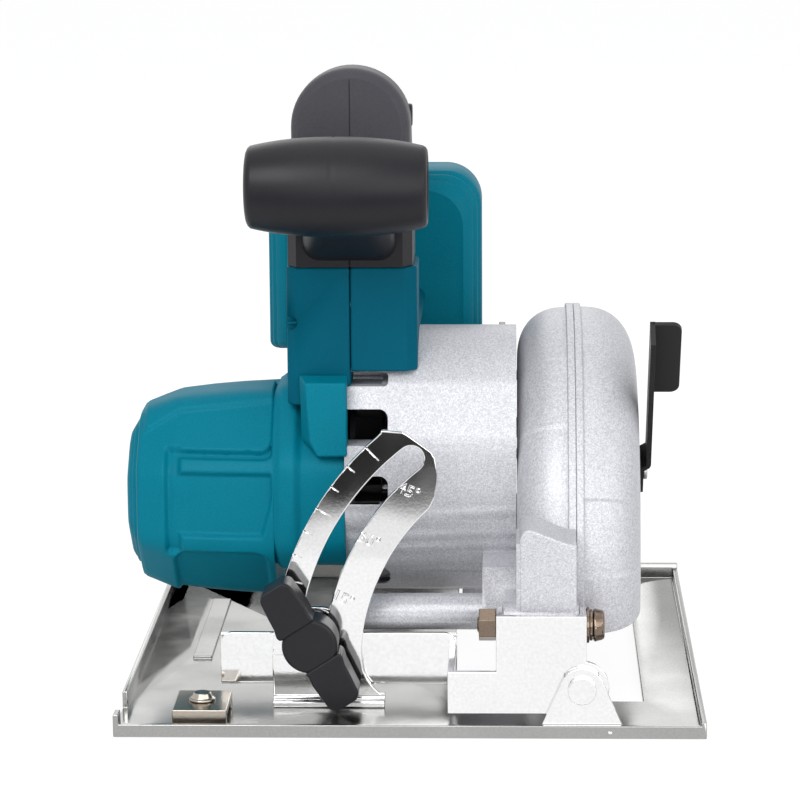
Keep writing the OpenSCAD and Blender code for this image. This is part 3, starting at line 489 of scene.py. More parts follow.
def weld(name, points, radius):
    """A row of weld drops: for each point a low round cap, rho = radius * (0.7 to 1.2), squashed to
    0.6 of its height, on a 10 by 6 grid."""
    all_points, all_faces = [], []
    for x, y, z in points:
        r = radius * draw.uniform(0.7, 1.2)
        u = np.linspace(0, 2 * np.pi, 10, endpoint=False)
        v = np.linspace(0.05, np.pi - 0.05, 6)
        uu, vv = np.meshgrid(u, v)
        ball = np.stack([x + r * np.cos(uu) * np.sin(vv), y + r * np.sin(uu) * np.sin(vv),
                         z + 0.6 * r * np.cos(vv)], axis=-1).reshape(-1, 3)
        start = len(all_points) * 60
        faces = [(start + j * 10 + i, start + j * 10 + (i + 1) % 10,
                  start + (j + 1) * 10 + (i + 1) % 10, start + (j + 1) * 10 + i)
                 for j in range(5) for i in range(10)]
        faces += [tuple(start + i for i in range(10)), tuple(start + 50 + i for i in range(10))]
        all_points.append(ball)
        all_faces += faces
    bead = solid(name, np.concatenate(all_points), all_faces, smooth=60)
    return dress(bead, bright_plate, "base", "nickel")


lug_line = [(x, -107.2 + draw.uniform(-0.4, 0.4), 2.2) for x in np.linspace(46.5, 52, 5)]
lug_line += [(x, -107.2 + draw.uniform(-0.4, 0.4), 2.2) for x in np.linspace(68, 74.5, 6)]
weld("lug_weld", lug_line, 1.5)


# ---- Fence strap and its screw ----
# A zinc-plated steel strap with a domed screw that holds the bar of a rip fence.
zinc = finish("yellow_zinc", (0.42, 0.38, 0.33), 0.2, metallic=1.0, grain=0.0008, mottle=0.06,
              bump=0.12, wave=0.12, wave_size=0.02)
strap = rounded_copy("fence_strap", 0.9, zinc, segments=3)
screw = rounded_copy("fence_screw", 0.5, zinc)


# ---- Clamp bolt and wing knob ----
# A moulded black knob with two wings turns on the plated bolt that locks the bevel.
black_plastic = finish("black_plastic", (0.014, 0.014, 0.017), 0.38, grain=0.0004, mottle=0.10,
                       bump=0.10, specular=0.22)
bolt_steel = finish("dark_steel", (0.42, 0.41, 0.40), 0.28, metallic=1.0, grain=0.0006)
KNOB = (-35.1, 27.6)
KNOB_Y = (-92.6, -80.4)


def wing(sign):
    """Outline of one wing of the knob in its own axes: it leaves the hub, swells and ends in a
    blunt tip, with one side hollowed."""
    return np.array([(7.2, -6.6), (9.5, -6.4), (12.5, -6.9), (22.6, -6.6), (24.6, -4.6),
                     (24.8, 3.4), (23.0, 5.6), (15.6, 6.6), (11.8, 7.0), (8.8, 8.0),
                     (7.2, 7.4)]) * (sign, sign)


turn = math.radians(-57)
twist = np.array(((math.cos(turn), -math.sin(turn)), (math.sin(turn), math.cos(turn))))
for sign, name in ((1, "knob_wing_a"), (-1, "knob_wing_b")):
    outline = wing(sign) @ twist.T + KNOB
    blade = prism(name, outline, "y", KNOB_Y[0], KNOB_Y[1] + 0.6)
    round_edges(blade, 1.2, segments=3, limit=25)
    dress(blade, black_plastic, body_of["wing_knob"], "black_plastic")
hub_outline = arc(KNOB, 9.8, 0, 360, 49)[:-1]
hub = prism("knob_hub", hub_outline, "y", KNOB_Y[0] + 0.9, -78.0)
round_edges(hub, 1.4, segments=3)
dress(hub, black_plastic, body_of["wing_knob"], "black_plastic", "wing_knob")
bolt = rounded_copy("clamp_bolt", 0.5, bright_plate)


# ---- Depth pivot: bolt, nut and washers ----
# Zinc-plated in a brownish bronze, at the front of the bracket.
bronze = finish("bronze_zinc", (0.21, 0.16, 0.125), 0.2, metallic=1.0, grain=0.0006, mottle=0.10)
for node, width in (("pivot_bolt", 1.1), ("pivot_nut", 0.5), ("pivot_washers", 0.25)):
    piece = rounded_copy(node, width, bronze, segments=3)


# ---- Motor housing, flange and end cap ----
# Matt teal plastic, moulded with a recessed panel and a pair of raised bars on the front.
teal = finish("teal_plastic", (0.0005, 0.175, 0.250), 0.5, grain=0.0005, mottle=0.08, bump=0.22,
              depth=0.00006, specular=0.08)
# The same teal plastic as teal, painted darker for the handle post: painted shade.
shaded_teal = finish("shaded_teal_plastic", (0.0003, 0.095, 0.150), 0.5, grain=0.0005, mottle=0.08,
                   bump=0.22, depth=0.00006, specular=0.05)
MOTOR = (-8.0, 65.6)                 # Y and Z of the motor axis, mm


def eight_flats(angle, reach, power):
    """Radius of a rounded eight-sided section at each angle: (the sum over the flats of (cos(angle
    - flat) / its distance) ** power) ** (-1 / power), with flats that face away left out."""
    total = 0.0
    for i, distance in enumerate(reach):
        along = np.clip(np.cos(angle - i * np.pi / 4), 0, None)
        total = total + (along / distance) ** power
    return total ** (-1.0 / power)


def step(value, width):
    """0 below -width / 2, 1 above width / 2 and a smooth step between."""
    t = np.clip(value / width + 0.5, 0, 1)
    return t * t * (3 - 2 * t)


def box_step(a, b, low, high, corner, width):
    """1 inside the rectangle low..high of the plane (a, b) with rounded corners, 0 outside, with a
    slope of that width."""
    mid = (np.asarray(low) + np.asarray(high)) / 2
    half = (np.asarray(high) - np.asarray(low)) / 2 - corner
    qa, qb = np.abs(a - mid[0]) - half[0], np.abs(b - mid[1]) - half[1]
    outside = np.hypot(np.clip(qa, 0, None), np.clip(qb, 0, None))
    inside = np.clip(np.maximum(qa, qb), None, 0)
    return 1 - step(outside + inside - corner, width)


def tube(name, grid, smooth=32):
    """A closed piece from a grid (rows, columns, 3): columns go round and join up, and the first
    and last rows are closed by faces."""
    rows, columns = grid.shape[:2]
    i, j = np.meshgrid(np.arange(rows - 1), np.arange(columns), indexing="ij")
    k = (j + 1) % columns
    quads = np.stack([i * columns + j, i * columns + k, (i + 1) * columns + k,
                      (i + 1) * columns + j], axis=-1).reshape(-1, 4)
    faces = quads.tolist()
    faces += [list(range(columns)), list(range((rows - 1) * columns, rows * columns))]
    return solid(name, grid.reshape(-1, 3), faces, smooth)


PANEL_DEPTH = 2.5


def motor_relief(x, z):
    """How far the moulded front stands below its surface, in mm, over X and Z: a groove round the
    upper panel, an upright channel, the window between the bars and the lower panel."""
    panel = box_step(x, z, (-130, 86.6), (-51.2, 140), 4.0, 1.2)
    ring = box_step(x, z, (-132, 84.2), (-48.8, 142), 6.0, 1.2) * (1 - panel)
    groove = ring * step(x + 87.5, 2.5)
    channel = box_step(x, z, (-89.6, 48.6), (-84.6, 87.0), 1.2, 2.4)
    slant = -48.6 - (79.4 - z) * 0.26
    window = box_step(x, z, (-88.0, 55.8), (-40.0, 79.2), 0.5, 1.5) * step(slant - x, 1.6)
    lower = box_step(x, z, (-87.0, 10.0), (-53.0, 49.4), 5.0, 1.8)
    deep = np.maximum(np.maximum(groove, channel), np.maximum(window, 0.7 * lower))
    crest = np.interp(x, [-99.5, -85.6, -50.5], [90.0, 98.2, 101.8])
    crown = 0.55 * step(z - crest, 1.2) * step(z - 82.0, 2.0)
    return PANEL_DEPTH * (deep - crown)


stations = np.array([(-50.4, 39.2), (-56, 38.9), (-64, 38.5), (-75, 37.6), (-86.6, 36.2),
                     (-88.4, 35.7), (-93, 34.0), (-99.4, 31.5), (-100.6, 30.6), (-101.0, 29.4)])
x = np.unique(np.concatenate([np.linspace(-101.0, -50.4, 130), stations[:, 0]]))
order = np.argsort(stations[:, 0])
reach = np.interp(x, stations[order, 0], stations[order, 1])
angle = np.linspace(0, 2 * np.pi, 480, endpoint=False)
section = eight_flats(angle, np.ones(8), 22.0)
xx = np.repeat(x[:, None], len(angle), axis=1)
radius = reach[:, None] * section[None, :]
zz = MOTOR[1] + radius * np.sin(angle)
ends = step(xx + 98.6, 2.5) * (1 - step(xx + 51.2, 1.0))
radius = radius - motor_relief(xx, zz) * ends * (np.cos(angle) < 0)
grid = np.stack([xx, MOTOR[0] + radius * np.cos(angle), MOTOR[1] + radius * np.sin(angle)], axis=-1)
shell = tube("motor_shell", grid, smooth=60)
dress(shell, teal, "saw_body", "teal_plastic", "motor_housing")

# The end cap bulges out of the left end behind a narrow seam.
cap_profile = [(-100.9, 26.6), (-102.4, 26.2), (-102.9, 25.4), (-103.0, 24.6), (-103.5, 24.4),
               (-104.6, 22.6), (-105.3, 19.5), (-105.7, 14.0), (-105.8, 7.0), (-105.8, 2.0)]
cap_profile = np.array(cap_profile)
grid = np.stack([np.repeat(cap_profile[:, :1], len(angle), axis=1),
                 MOTOR[0] + cap_profile[:, 1:] * section * np.cos(angle),
                 MOTOR[1] + cap_profile[:, 1:] * section * np.sin(angle)], axis=-1)[:, ::4]
cap = tube("motor_cap", grid, smooth=50)
dress(cap, teal, "saw_body", "teal_plastic", "motor_end_cap")

# The flange that bolts to the casting: it swells out of the housing and is cut short below.
x = np.concatenate([np.linspace(-50.4, -40.0, 26), np.linspace(-39.4, -24.7, 8)])
swell = 1.2 * step(x + 47.0, 7.0) - 2.2 * step(x + 41.6, 3.4)
reach = [41.0, 41.0, 41.6, 41.2, 40.6, 38.6, 23.2, 36.0]
grid = []
for place, lift in zip(x, swell):
    r = eight_flats(angle, np.array(reach) - 1.6 + 1.6 * float(step(place + 49.2, 3.0)), 26.0)
    r = r + lift * (np.cos(angle) < 0)
    grid.append(np.stack([np.full_like(angle, place), MOTOR[0] + r * np.cos(angle),
                          MOTOR[1] + r * np.sin(angle)], axis=-1))
flange = tube("motor_flange", np.array(grid)[:, ::2], smooth=40)
dress(flange, teal, "saw_body", "teal_plastic", "housing_flange")


def taper(name, back, front, axis, start, end, paint, body, slot, rounding=1.0):
    """A prism whose outline changes from back to front on the way from start to end."""
    rings = [np.stack(PLACES[axis](np.asarray(o, float)[:, 0], np.asarray(o, float)[:, 1],
                                   np.full(len(o), c)), axis=1)
             for o, c in ((back, start), (front, end))]
    piece = tube(name, np.array(rings), smooth=30)
    round_edges(piece, rounding, segments=3, limit=22)
    return dress(piece, paint, body, slot)


pad_front = [(-38.4, 113.2), (-23.6, 113.2), (-23.6, 86.6), (-34.0, 86.4), (-36.8, 91.6)]
pad_back = [(-41.0, 114.6), (-23.6, 114.6), (-23.6, 84.4), (-35.0, 84.0), (-40.4, 91.0)]
taper("flange_pad", pad_back, pad_front, "y", -41.0, -49.8, teal, "saw_body", "teal_plastic", 0.8)


# ---- Handle body ----
# Two teal half shells meet at an upright seam: the front post, and the rail below the hand.
HANDLE_X = -22.5
SEAM = 0.14


def half_shell(name, x_out, z_low, chamfer, paint, replaced):
    """One half of the post and rail: its side outline in Y and Z carried from the seam to its outer
    face, with the outer edges chamfered by moving the outline in."""
    side = np.array([(-39.0, z_low), (-39.0, 153.2), (-8.0, 153.2), (-8.0, 131.0), (63.0, 131.0),
                     (63.0, 121.6), (-2.0, 121.6), (-6.0, 113.5), (-12.0, z_low)])
    inward = np.array([(1, 0), (1, 0), (-1, 0), (-1, -1), (0, -1), (0, 1), (-0.6, 1), (-1, 0.6),
                       (-1, 0)])
    seam_x = HANDLE_X + math.copysign(SEAM, x_out - HANDLE_X)
    bend = x_out - math.copysign(chamfer, x_out - HANDLE_X)
    rings = []
    for place, move in ((seam_x, 0.0), (bend, 0.0), (x_out, chamfer * 0.9)):
        ring = side + inward * move
        rings.append(np.stack([np.full(len(ring), place), ring[:, 0], ring[:, 1]], axis=1))
    piece = tube(name, np.array(rings), smooth=28)
    round_edges(piece, 0.9, segments=3, limit=20)
    return dress(piece, paint, "saw_body", "teal_plastic", replaced)


# Both halves wear the darker teal: painted shade on the post.
left_half = half_shell("handle_left", -45.4, 103.0, 3.0, shaded_teal, "body_left")
half_shell("handle_right", 1.5, 115.4, 4.0, shaded_teal, "body_right")

# A screw recess low on the left of the post, with the bar of the boss across it.
recess = prism("recess", arc((-44.0, 133.0), 2.6, 0, 360, 33)[:-1], "y", -41.0, -35.6)
settle(left_half)
cut(left_half, recess)
# The bar wears the darker teal as well: painted shade.
boss = prism("recess_bar", [(-45.2, 132.5), (-41.6, 132.5), (-41.6, 133.4), (-45.2, 133.4)], "y",
             -37.2, -35.2)
round_edges(boss, 0.2)
dress(boss, shaded_teal, "saw_body", "teal_plastic")


# ---- Handle overmould ----
# Soft black grip: a bow over the hand with a full round top, and the root that clamps the post.
grip_black = finish("grip_black", (0.011, 0.011, 0.014), 0.42, grain=0.0006, mottle=0.12,
                    bump=0.16, depth=0.00006, specular=0.24)
# The same black grip painted lighter, for the bow and its tail: painted sheen.
painted_sheen_black = finish("painted_sheen_black", (0.054, 0.052, 0.061), 0.5, grain=0.0006, mottle=0.08,
                   bump=0.16, depth=0.00006, specular=0.24)


def arch_section(half, bottom, top, low_corner, shrink=0.0):
    """Outline in X and Z of the bow: a half circle on top, straight sides, and two rounded corners
    below. shrink moves it inwards."""
    half, bottom, top = half - shrink, bottom + shrink * 0.3, top - shrink
    cap_r = min(half, 0.62 * (top - bottom))
    corner = min(low_corner, 0.36 * (top - bottom))
    a = np.radians(np.linspace(0, 90, 17))
    right = np.stack([HANDLE_X + half - cap_r + cap_r * np.cos(a),
                      top - cap_r + cap_r * np.sin(a)], 1)
    left = right[::-1] * (-1, 1) + (2 * HANDLE_X, 0)
    b = np.radians(np.linspace(180, 270, 9))
    low_left = np.stack([HANDLE_X - half + corner + corner * np.cos(b),
                         bottom + corner + corner * np.sin(b)], 1)
    low_right = low_left[::-1] * (-1, 1) + (2 * HANDLE_X, 0)
    return np.concatenate([right, left, low_left, low_right])


def at_y(ring, place):
    """An outline in X and Z as points at that Y."""
    return np.stack([ring[:, 0], np.full(len(ring), place), ring[:, 1]], axis=1)


SEAM_CUT = 0.22                     # half the width of a mould seam, mm


def seam_cutter(low, high, axis, start, end):
    """A narrow cutter on the handle's middle plane."""
    left, right = HANDLE_X - SEAM_CUT, HANDLE_X + SEAM_CUT
    return prism("seam", [(left, low), (right, low), (right, high), (left, high)], axis, start, end)


bow = np.array([            # Y, half width, underside and top, and how far the outline is drawn in
    (-28.6, 21.4, 160.0, 222.8, 3.0), (-28.4, 21.4, 160.0, 222.8, 2.7),
    (-26.4, 21.4, 160.0, 223.0, 0.9), (-24.8, 21.4, 160.0, 223.1, 0.2),
    (-22.0, 21.4, 160.0, 223.2, 0.0), (-14.0, 21.4, 161.0, 223.0, 0.0),
    (-6.0, 21.3, 165.0, 222.5, 0.0), (0.0, 21.2, 171.5, 221.9, 0.0),
    (7.0, 21.0, 179.0, 221.1, 0.0), (15.0, 20.7, 184.2, 220.0, 0.0),
    (24.0, 20.4, 186.2, 218.2, 0.0), (33.0, 20.2, 184.4, 215.0, 0.0),
    (42.0, 20.0, 179.4, 210.6, 0.0), (50.0, 19.9, 173.0, 202.0, 0.0),
    (58.0, 19.8, 166.0, 192.4, 0.0), (62.4, 19.7, 163.5, 187.2, 0.0)])
places = np.linspace(bow[0, 0], bow[-1, 0], 90)
places = np.unique(np.concatenate([bow[:, 0], places[places > -22]]))
rows = []
for place in places:
    half, low, high, inset = (np.interp(place, bow[:, 0], bow[:, i]) for i in range(1, 5))
    rows.append(at_y(arch_section(half, low, high, 9.0, inset), place))
arch = tube("handle_bow", np.array(rows), smooth=38)
seam_cut = seam_cutter(140, 219.2, "y", -30, -28.0)
trigger_cut = prism("trigger_gap", [(HANDLE_X - 7.4, 150), (HANDLE_X + 7.4, 150),
                                    (HANDLE_X + 7.4, 195.9), (HANDLE_X - 7.4, 195.9)], "y", -8, 36)
button_cut = prism("button_gap", arc((4.0, 203.0), 4.4, 0, 360, 41)[:-1], "x", -60, 20)
cut(arch, seam_cut, trigger_cut, button_cut, smooth=24)
# The bow wears the lighter black: painted sheen.
dress(arch, painted_sheen_black, "saw_body", "black_grip", "handle_overmould")

# The tail of the overmould lies down on the top of the battery holder.
tail = np.array([(61.6, 19.7, 171.3, 187.8), (68, 19.7, 171.3, 185.6), (76, 19.6, 171.3, 181.6),
                 (84, 19.5, 171.3, 176.6), (89, 19.3, 171.3, 174.0), (91.8, 18.6, 171.3, 172.4)])
rows = [at_y(arch_section(half, low, high, 0.6), place) for place, half, low, high in tail]
tail_piece = tube("handle_tail", np.array(rows), smooth=38)
# The tail wears the lighter black too: painted sheen.
dress(tail_piece, painted_sheen_black, "saw_body", "black_grip")

# The root wraps the top of the post, with its front corners cut off.
ROOT = 22.4
root_outline = [(HANDLE_X - ROOT, -34.6), (HANDLE_X - ROOT + 3.4, -39.6),
                (HANDLE_X + ROOT - 3.4, -39.6), (HANDLE_X + ROOT, -34.6), (HANDLE_X + ROOT, -4.6),
                (HANDLE_X - ROOT, -4.6)]
root = prism("handle_root", root_outline, "z", 153.3, 172.0)
cut(root, seam_cutter(-41, -39.1, "z", 150, 175))
round_edges(root, 0.8, segments=3, limit=30)
dress(root, grip_black, "saw_body", "black_grip")


def soft_box(half_x, low, high, corner):
    """Outline in X and Z, centred on the handle, of a rectangle with rounded corners."""
    parts = []
    for cx, cz, start in ((half_x - corner, high - corner, 0),
                          (-half_x + corner, high - corner, 90),
                          (-half_x + corner, low + corner, 180),
                          (half_x - corner, low + corner, 270)):
        parts.append(arc((HANDLE_X + cx, cz), corner, start, start + 90, 9))
    return np.concatenate(parts)


neck = [(-37.0, 17.0, 154.6, 184.0, 6.0), (-46.0, 16.0, 159.0, 188.6, 7.0),
        (-56.0, 14.8, 166.0, 193.0, 8.0), (-66.0, 14.0, 173.0, 195.0, 8.0),
        (-74.0, 13.6, 177.0, 195.6, 8.0)]
rows = [at_y(soft_box(half, low, high, corner), place) for place, half, low, high, corner in neck]
neck_piece = tube("grip_neck", np.array(rows), smooth=50)
dress(neck_piece, grip_black, "saw_body", "black_grip")


# ---- Front grip ----
# A barrel-shaped black grip turned about an axis across the saw, with a lip round its open end.
def turned(name, profile, centre, count=96, smooth=38):
    """A surface of revolution about an axis along X through centre (Y, Z): profile gives X and
    radius."""
    profile = np.asarray(profile, dtype=float)
    a = np.linspace(0, 2 * np.pi, count, endpoint=False)
    grid = np.stack([np.repeat(profile[:, :1], count, axis=1),
                     centre[0] + profile[:, 1:] * np.cos(a),
                     centre[1] + profile[:, 1:] * np.sin(a)], axis=-1)
    return tube(name, grid, smooth)


u = np.linspace(-1, 1, 61)
barrel_x = -24.9 + 29.6 * u
barrel_r = 17.3 - 3.0 * np.abs(u) ** 2.3
mould_line = 0.14 * np.exp(-((barrel_x + 26.0) / 0.3) ** 2)
side_wall = np.stack([barrel_x, barrel_r - mould_line], axis=1)
left_end = [(-56.0, 0.6), (-56.3, 6.0), (-56.3, 10.4), (-56.0, 12.2), (-55.4, 13.5)]
right_end = [(5.2, 14.1), (6.0, 13.6), (6.5, 12.7), (6.6, 12.0), (6.2, 11.4), (5.4, 11.2),
             (5.0, 10.6), (5.0, 0.6)]
barrel = turned("front_barrel", np.concatenate([left_end, side_wall, right_end]), (-75.0, 187.0))
dress(barrel, grip_black, "saw_body", "black_grip", "front_grip")


# ---- Battery holder ----
# The teal rear block: the battery slides up into it from below, along a rail on each side.
HOLDER_TOP = 174.0


def holder_ring(inset, y):
    """The block's outline, drawn in by inset, at that Y: big corners on top and small ones below.
    The block's outline, drawn in by inset, at that Y: big corners on top and small ones below."""
    low_x, high_x, low_z = -59.6 + inset, 23.4 - inset, 104.0 + inset * 0.3
    top = HOLDER_TOP - inset
    big, small = 14.0, 3.0
    parts = [arc((high_x - big, top - big), big, 0, 90, 15),
             arc((low_x + big, top - big), big, 90, 180, 15),
             arc((low_x + small, low_z + small), small, 180, 270, 7),
             arc((high_x - small, low_z + small), small, 270, 360, 7)]
    return at_y(np.concatenate(parts), y)


HOLDER = ((7.4, 62.2), (7.0, 62.0), (5.9, 62.6), (3.6, 65.0), (3.2, 65.8), (3.2, 66.6), (1.9, 67.4),
          (1.3, 68.6), (1.3, 70.0), (0.4, 70.8), (0.0, 72.0), (0.0, 97.4), (0.6, 99.2),
          (2.0, 100.0))
holder = tube("battery_block", np.array([holder_ring(inset, y) for inset, y in HOLDER]), smooth=35)
slot_wide = prism("slot_wide", [(-51.9, 100), (13.9, 100), (13.9, 156.9), (-51.9, 156.9)],
                  "y", 78, 92)
slot_open = prism("slot_open", [(-46.9, 100), (8.9, 100), (8.9, 156.9), (-46.9, 156.9)],
                  "y", 78, 104)
latch = prism("latch", [(0.9, 107.0), (7.0, 107.0), (7.0, 113.2), (0.9, 113.2)], "y", 60, 63.2)
cut(holder, slot_wide, slot_open, latch, smooth=35)
dress(holder, teal, "saw_body", "teal_plastic", "battery_holder")
latch_back = prism("latch_plate", [(1.0, 107.1), (6.9, 107.1), (6.9, 113.1), (1.0, 113.1)], "y",
                   62.9, 63.6)
round_edges(latch_back, 0.15)
dress(latch_back, black_plastic, "saw_body", "black_plastic")


# ---- Gear housing ----
# One aluminium casting, painted silver with a sparkle. The drum takes the motor, and the nose
# carries the blade spindle. Slots beside the motor let the cooling air out.
def cast_finish(name, color, roughness):
    """Silver paint with flakes: small random cells are painted lighter and darker, the flakes'
    glints painted into the colour, over a faint pitting."""
    paint = finish(name, color, roughness, metallic=0.25, grain=0.0005, mottle=0.05, bump=0.25,
                   depth=0.00008)
    tree = paint.node_tree
    shader = tree.nodes["Principled BSDF"]
    place = tree.nodes.new("ShaderNodeTexCoord").outputs["Object"]
    # The cells' lighter and darker shades are painted glints of the flakes.
    flakes = tree.nodes.new("ShaderNodeTexVoronoi")
    flakes.inputs["Scale"].default_value = 2500.0
    tree.links.new(place, flakes.inputs["Vector"])
    shade = tree.nodes.new("ShaderNodeMapRange")
    shade.inputs["To Min"].default_value = 0.72
    shade.inputs["To Max"].default_value = 1.26
    tree.links.new(flakes.outputs["Color"], shade.inputs["Value"])
    before = shader.inputs["Base Color"].links[0].from_socket
    scaled = tree.nodes.new("ShaderNodeVectorMath")
    scaled.operation = "SCALE"
    tree.links.new(before, scaled.inputs[0])
    tree.links.new(shade.outputs["Result"], scaled.inputs["Scale"])
    tree.links.new(scaled.outputs[0], shader.inputs["Base Color"])
    return paint


silver_cast = cast_finish("silver_casting", (0.56, 0.56, 0.59), 0.5)
CASE_X = (-24.6, 37.0)
CASE_MID = np.array((-6.0, 79.2))     # Y and Z of the middle of the drum
FACET_LEAN = math.radians(153.0)
FACET_DIR = np.array((math.cos(FACET_LEAN), math.sin(FACET_LEAN)))


def drum_outline(grow):
    """Side outline of the drum in Y and Z: two half circles of 42 mm, 9.2 mm apart, cut by a flat
    facet that leans back on the front."""
    outline = np.concatenate([arc((CASE_MID[0], CASE_MID[1] + 4.6), 42 + grow, 0, 180, 91),
                              arc((CASE_MID[0], CASE_MID[1] - 4.6), 42 + grow, 180, 360, 91)])
    over = np.clip((outline - CASE_MID) @ FACET_DIR - (42.9 + grow), 0, None)
    return outline - over[:, None] * FACET_DIR


casting = rounded_copy("gear_housing", 0.9, silver_cast, limit=38)
settle(casting)
drum = prism("casting_drum", drum_outline(0.4), "x", CASE_X[0], CASE_X[1], smooth=14)
facet_side = np.array((-FACET_DIR[1], FACET_DIR[0])) * 30
facet_mid = CASE_MID + FACET_DIR * 42.4
facet = [facet_mid - facet_side, facet_mid + facet_side, facet_mid + facet_side + FACET_DIR * 12,
         facet_mid - facet_side + FACET_DIR * 12]
cut(casting, prism("facet", facet, "x", -26, 36.9))


def vent(low, high):
    """A cutter for one air slot: open at the motor side, with rounded corners at the other."""
    right, corner = -9.0, 3.2 if high - low > 7 else 1.6
    outline = np.concatenate([[(-26, low)], arc((right - corner, low + corner), corner, -90, 0, 8),
                              arc((right - corner, high - corner), corner, 0, 90, 8),
                              [(-26, high)]])
    return prism("vent", outline, "y", -60, -16)


VENTS = ((34.2, 42.6), (68.6, 79.0), (90.0, 102.4), (110.0, 114.6))
hollow = prism("hollow", drum_outline(-3.4), "x", CASE_X[0] - 1, CASE_X[1] + 1)
cut(drum, hollow, *[vent(*pair) for pair in VENTS], smooth=14)
round_edges(drum, 0.6, segments=2, limit=50)
cut(casting, *[vent(*pair) for pair in VENTS])
dress(drum, silver_cast, "saw_body", "cast_silver")

# The lug that hangs on the depth pivot, with a sloping top.
lug_outline = [(38.2, 40.6), (38.2, 67.4), (38.9, 69.6), (40.4, 70.9), (42.0, 71.0), (56.0, 65.6),
               (57.5, 64.2), (57.9, 61.8), (57.9, 40.6)]
lug = prism("hinge_lug", lug_outline, "y", -97.4, -74.0, smooth=25)
round_edges(lug, 0.8, segments=3, limit=25)
dress(lug, silver_cast, "saw_body", "cast_silver")


# ---- Upper guard ----
# Two cast half-moon shells round the blade, joined at a raised rim.
SPINDLE = (12.0, 41.6)
GUARD_EDGE = 8.9                    # slope of the lower edge, degrees
GUARD_WALL = 1.4


def guard_half(name, profile, ridges):
    """A half shell turned about the spindle from the sloping lower edge round to the other side:
    rho = profile(X) + the ridges, each a small step in radius at its angle. The inner wall is
    the same profile moved in by the wall, so the section is closed."""
    profile = np.asarray(profile, dtype=float)
    angles = np.linspace(GUARD_EDGE, GUARD_EDGE + 180, 181)
    for ridge, _ in ridges:
        angles = np.concatenate([angles, ridge + np.linspace(-0.7, 0.7, 7)])
    angles = np.unique(angles.round(3))
    lift = sum(size * step(angles - ridge, 1.0) for ridge, size in ridges)
    a = np.radians(angles)
    rows = []
    for place, rho, follows in profile:
        r = rho + lift * follows
        rows.append(np.stack([np.full_like(a, place), SPINDLE[0] + r * np.cos(a),
                              SPINDLE[1] + r * np.sin(a)], axis=-1))
    grid = np.array(rows).transpose(1, 0, 2)
    return tube(name, grid, smooth=30)


def dome(x0, x1, low, high, power, count):
    """A quarter of a superellipse from the rim to the face: radius low + (high - low) * (1 - t **
    power) ** (1 / power). Each row ends in a 1, which lets the ridges lift it."""
    t = np.sin(np.linspace(0, np.pi / 2, count))
    rho = low + (high - low) * (1 - t ** power) ** (1 / power)
    xs = x0 + (x1 - x0) * t
    return np.stack([xs, rho, np.ones_like(xs)], axis=1)


outer = dome(61.0, 81.6, 60.0, 87.6, 2.5, 26)
inner_wall = dome(61.0, 81.6 - GUARD_WALL, 60.0 - GUARD_WALL, 87.6 - GUARD_WALL, 2.5, 22)[::-1]
inner_wall[:, 2] = 0
rim_outer = [(58.05, 86.2, 0), (58.05, 88.6, 0), (58.4, 89.0, 0), (60.4, 89.0, 0), (60.8, 88.7, 0)]
profile = np.concatenate([rim_outer, outer, [(81.6, 1.0, 0), (81.6 - GUARD_WALL, 1.0, 0)],
                          inner_wall])
guard_right = guard_half("guard_outer_shell", profile, ((157.4, -0.7), (175.2, 0.7)))
a = np.radians(np.linspace(-10, 124, 50))
slot_ring = np.concatenate([
    np.stack([SPINDLE[0] + 42 * np.cos(a), SPINDLE[1] + 42 * np.sin(a)], axis=1),
    arc((SPINDLE[0] + 37 * math.cos(a[-1]), SPINDLE[1] + 37 * math.sin(a[-1])), 5, 134, 294, 11),
    np.stack([SPINDLE[0] + 32 * np.cos(a[::-1]), SPINDLE[1] + 32 * np.sin(a[::-1])], axis=1)])
cut(guard_right, prism("lever_slot", slot_ring, "x", 76, 84), smooth=30)
dress(guard_right, silver_cast, "saw_body", "cast_silver", "upper_guard_outer")

outer = dome(55.2, 37.2, 68.0, 87.4, 2.3, 26)
inner_wall = dome(55.2, 37.2 + GUARD_WALL, 68.0 - GUARD_WALL, 87.4 - GUARD_WALL, 2.3, 22)[::-1]
inner_wall[:, 2] = 0
rim_inner = [(57.95, 86.0, 0), (57.95, 89.0, 0), (55.6, 89.0, 0), (55.3, 88.6, 0)]
profile = np.concatenate([rim_inner, outer, [(37.2, 24.0, 0), (37.2 + GUARD_WALL, 24.0, 0)],
                          inner_wall])
guard_left = guard_half("guard_inner_shell", profile, ((118.3, 0.6), (139.4, -0.6)))
dress(guard_left, silver_cast, "saw_body", "cast_silver", "upper_guard_inner")


# ---- Lower guard and its lever ----
# A bright sheet-metal guard swings about the nose, drawn back by a bent black lever.
# The lower guard wears the darker nickel: painted shade.
for node, width, paint, slot_name in (("lower_guard", 0.4, nickel, "steel"),
                                      ("lever_screw", 0.4, bolt_steel, "steel")):
    rounded_copy(node, width, paint)
black_steel = finish("black_steel", (0.010, 0.010, 0.011), 0.34, grain=0.0005, mottle=0.08,
                     specular=0.3)
LEVER_TURN = math.radians(124.0)
lever_x = 81.9


def on_lever(points):
    """Points given as X, distance out along the lever and place across it, turned to the open
    guard's direction."""
    points = np.asarray(points, dtype=float)
    y = SPINDLE[0] + points[..., 1] * math.cos(LEVER_TURN) - points[..., 2] * math.sin(LEVER_TURN)
    z = SPINDLE[1] + points[..., 1] * math.sin(LEVER_TURN) + points[..., 2] * math.cos(LEVER_TURN)
    return np.stack([points[..., 0], y, z], axis=-1)


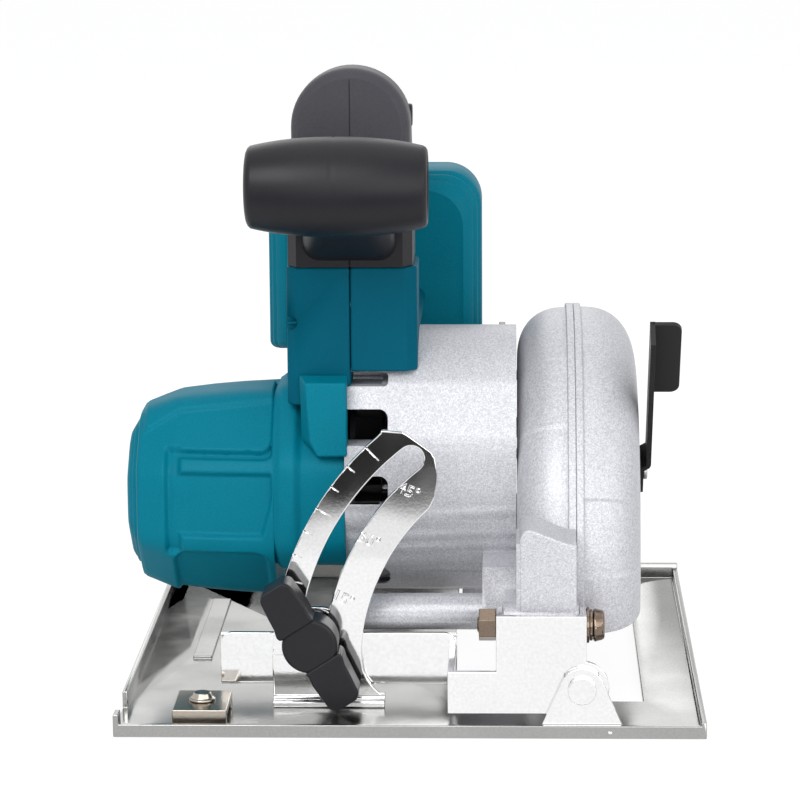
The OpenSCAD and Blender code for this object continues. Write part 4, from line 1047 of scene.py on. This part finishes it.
path = np.concatenate([[(lever_x + 0.9, 32.0), (lever_x + 0.9, 43.0)],
                       [(lever_x + 1.0, 43.6), (lever_x + 3.3, 45.4), (lever_x + 3.5, 46.2)],
                       [(lever_x + 3.5, 107.8)]])
band = thicken(path, 1.8)
rows = [np.stack([band[:, 0], band[:, 1], np.full(len(band), w)], axis=1) for w in (-6, 6)]
strip = tube("lever_strip", on_lever(np.array(rows)), smooth=40)
cut(strip, turned("lever_hole", [(80, 1.7), (86, 1.7)],
                  tuple(on_lever([(0, 37.0, 0.0)])[0][1:]), count=32), smooth=40)
round_edges(strip, 0.3)
dress(strip, black_steel, "swing_guard", "black_steel", "guard_lever")
tab = np.concatenate([[(lever_x + 2.6, 74.0)], arc((lever_x + 10.6, 77.4), 3.4, -90, 0, 8),
                      arc((lever_x + 10.6, 104.4), 3.4, 0, 90, 8), [(lever_x + 2.6, 107.8)]])
rows = [np.stack([tab[:, 0], tab[:, 1], np.full(len(tab), w)], axis=1) for w in (-6.0, -4.2)]
tab_piece = tube("lever_tab", on_lever(np.array(rows)), smooth=40)
round_edges(tab_piece, 0.3)
dress(tab_piece, black_steel, "swing_guard", "black_steel")


# ---- Trigger, lock-off button and depth lever ----
# Black plastic controls: the trigger slides up under the bow, the button passes through it.
trigger_side = np.array([(0.2, 180.8), (0.4, 170.2), (3.4, 168.6), (8.4, 169.4), (14.0, 171.0),
                         (19.2, 170.6), (23.4, 168.4), (24.0, 172.0), (24.0, 180.8)])
trigger = prism("trigger_shape", trigger_side, "x", HANDLE_X - 6.9, HANDLE_X + 6.9, smooth=50)
round_edges(trigger, 1.2, segments=3, limit=40)
dress(trigger, black_plastic, body_of["trigger"], "black_plastic", "trigger")
for node, width in (("lock_off_button", 0.8), ("depth_lever", 1.2), ("shaft_lock", 0.4)):
    rounded_copy(node, width, black_plastic, segments=3)


# ---- Parts inside and behind ----
# Turned steel shafts, bearings, flanges and screws, the motor's can and windings, and the fan.
steel = finish("turned_steel", (0.55, 0.55, 0.56), 0.26, metallic=1.0, grain=0.0006, mottle=0.06)
copper = finish("copper_wire", (0.62, 0.28, 0.14), 0.34, metallic=1.0, grain=0.0008, mottle=0.15)
brass = finish("brass_parts", (0.66, 0.48, 0.20), 0.3, metallic=1.0, grain=0.0006)
inside_black = finish("fan_plastic", (0.016, 0.016, 0.018), 0.5, grain=0.0006)
for paint, width, slot_name, members in (
        (steel, 0.25, "steel", ("motor_shaft", "spindle", "inner_flange", "outer_flange", "pinion",
                                "spindle_gear", "motor_bearings", "spindle_bearings",
                                "guard_spring",
                                "guard_screws")),
        (bolt_steel, 0.3, "steel", ("depth_bolt",)),
        (bolt_steel, 0.3, "dark_steel", ("blade_bolt", "housing_screws", "motor_can")),
        (copper, 0.3, "copper", ("armature", "commutator")),
        (brass, 0.2, "brass", ("battery_contacts", "brush_holders")),
        (inside_black, 0.2, "black_plastic", ("motor_fan", "switch_module"))):
    for node in members:
        rounded_copy(node, width, paint, limit=50)
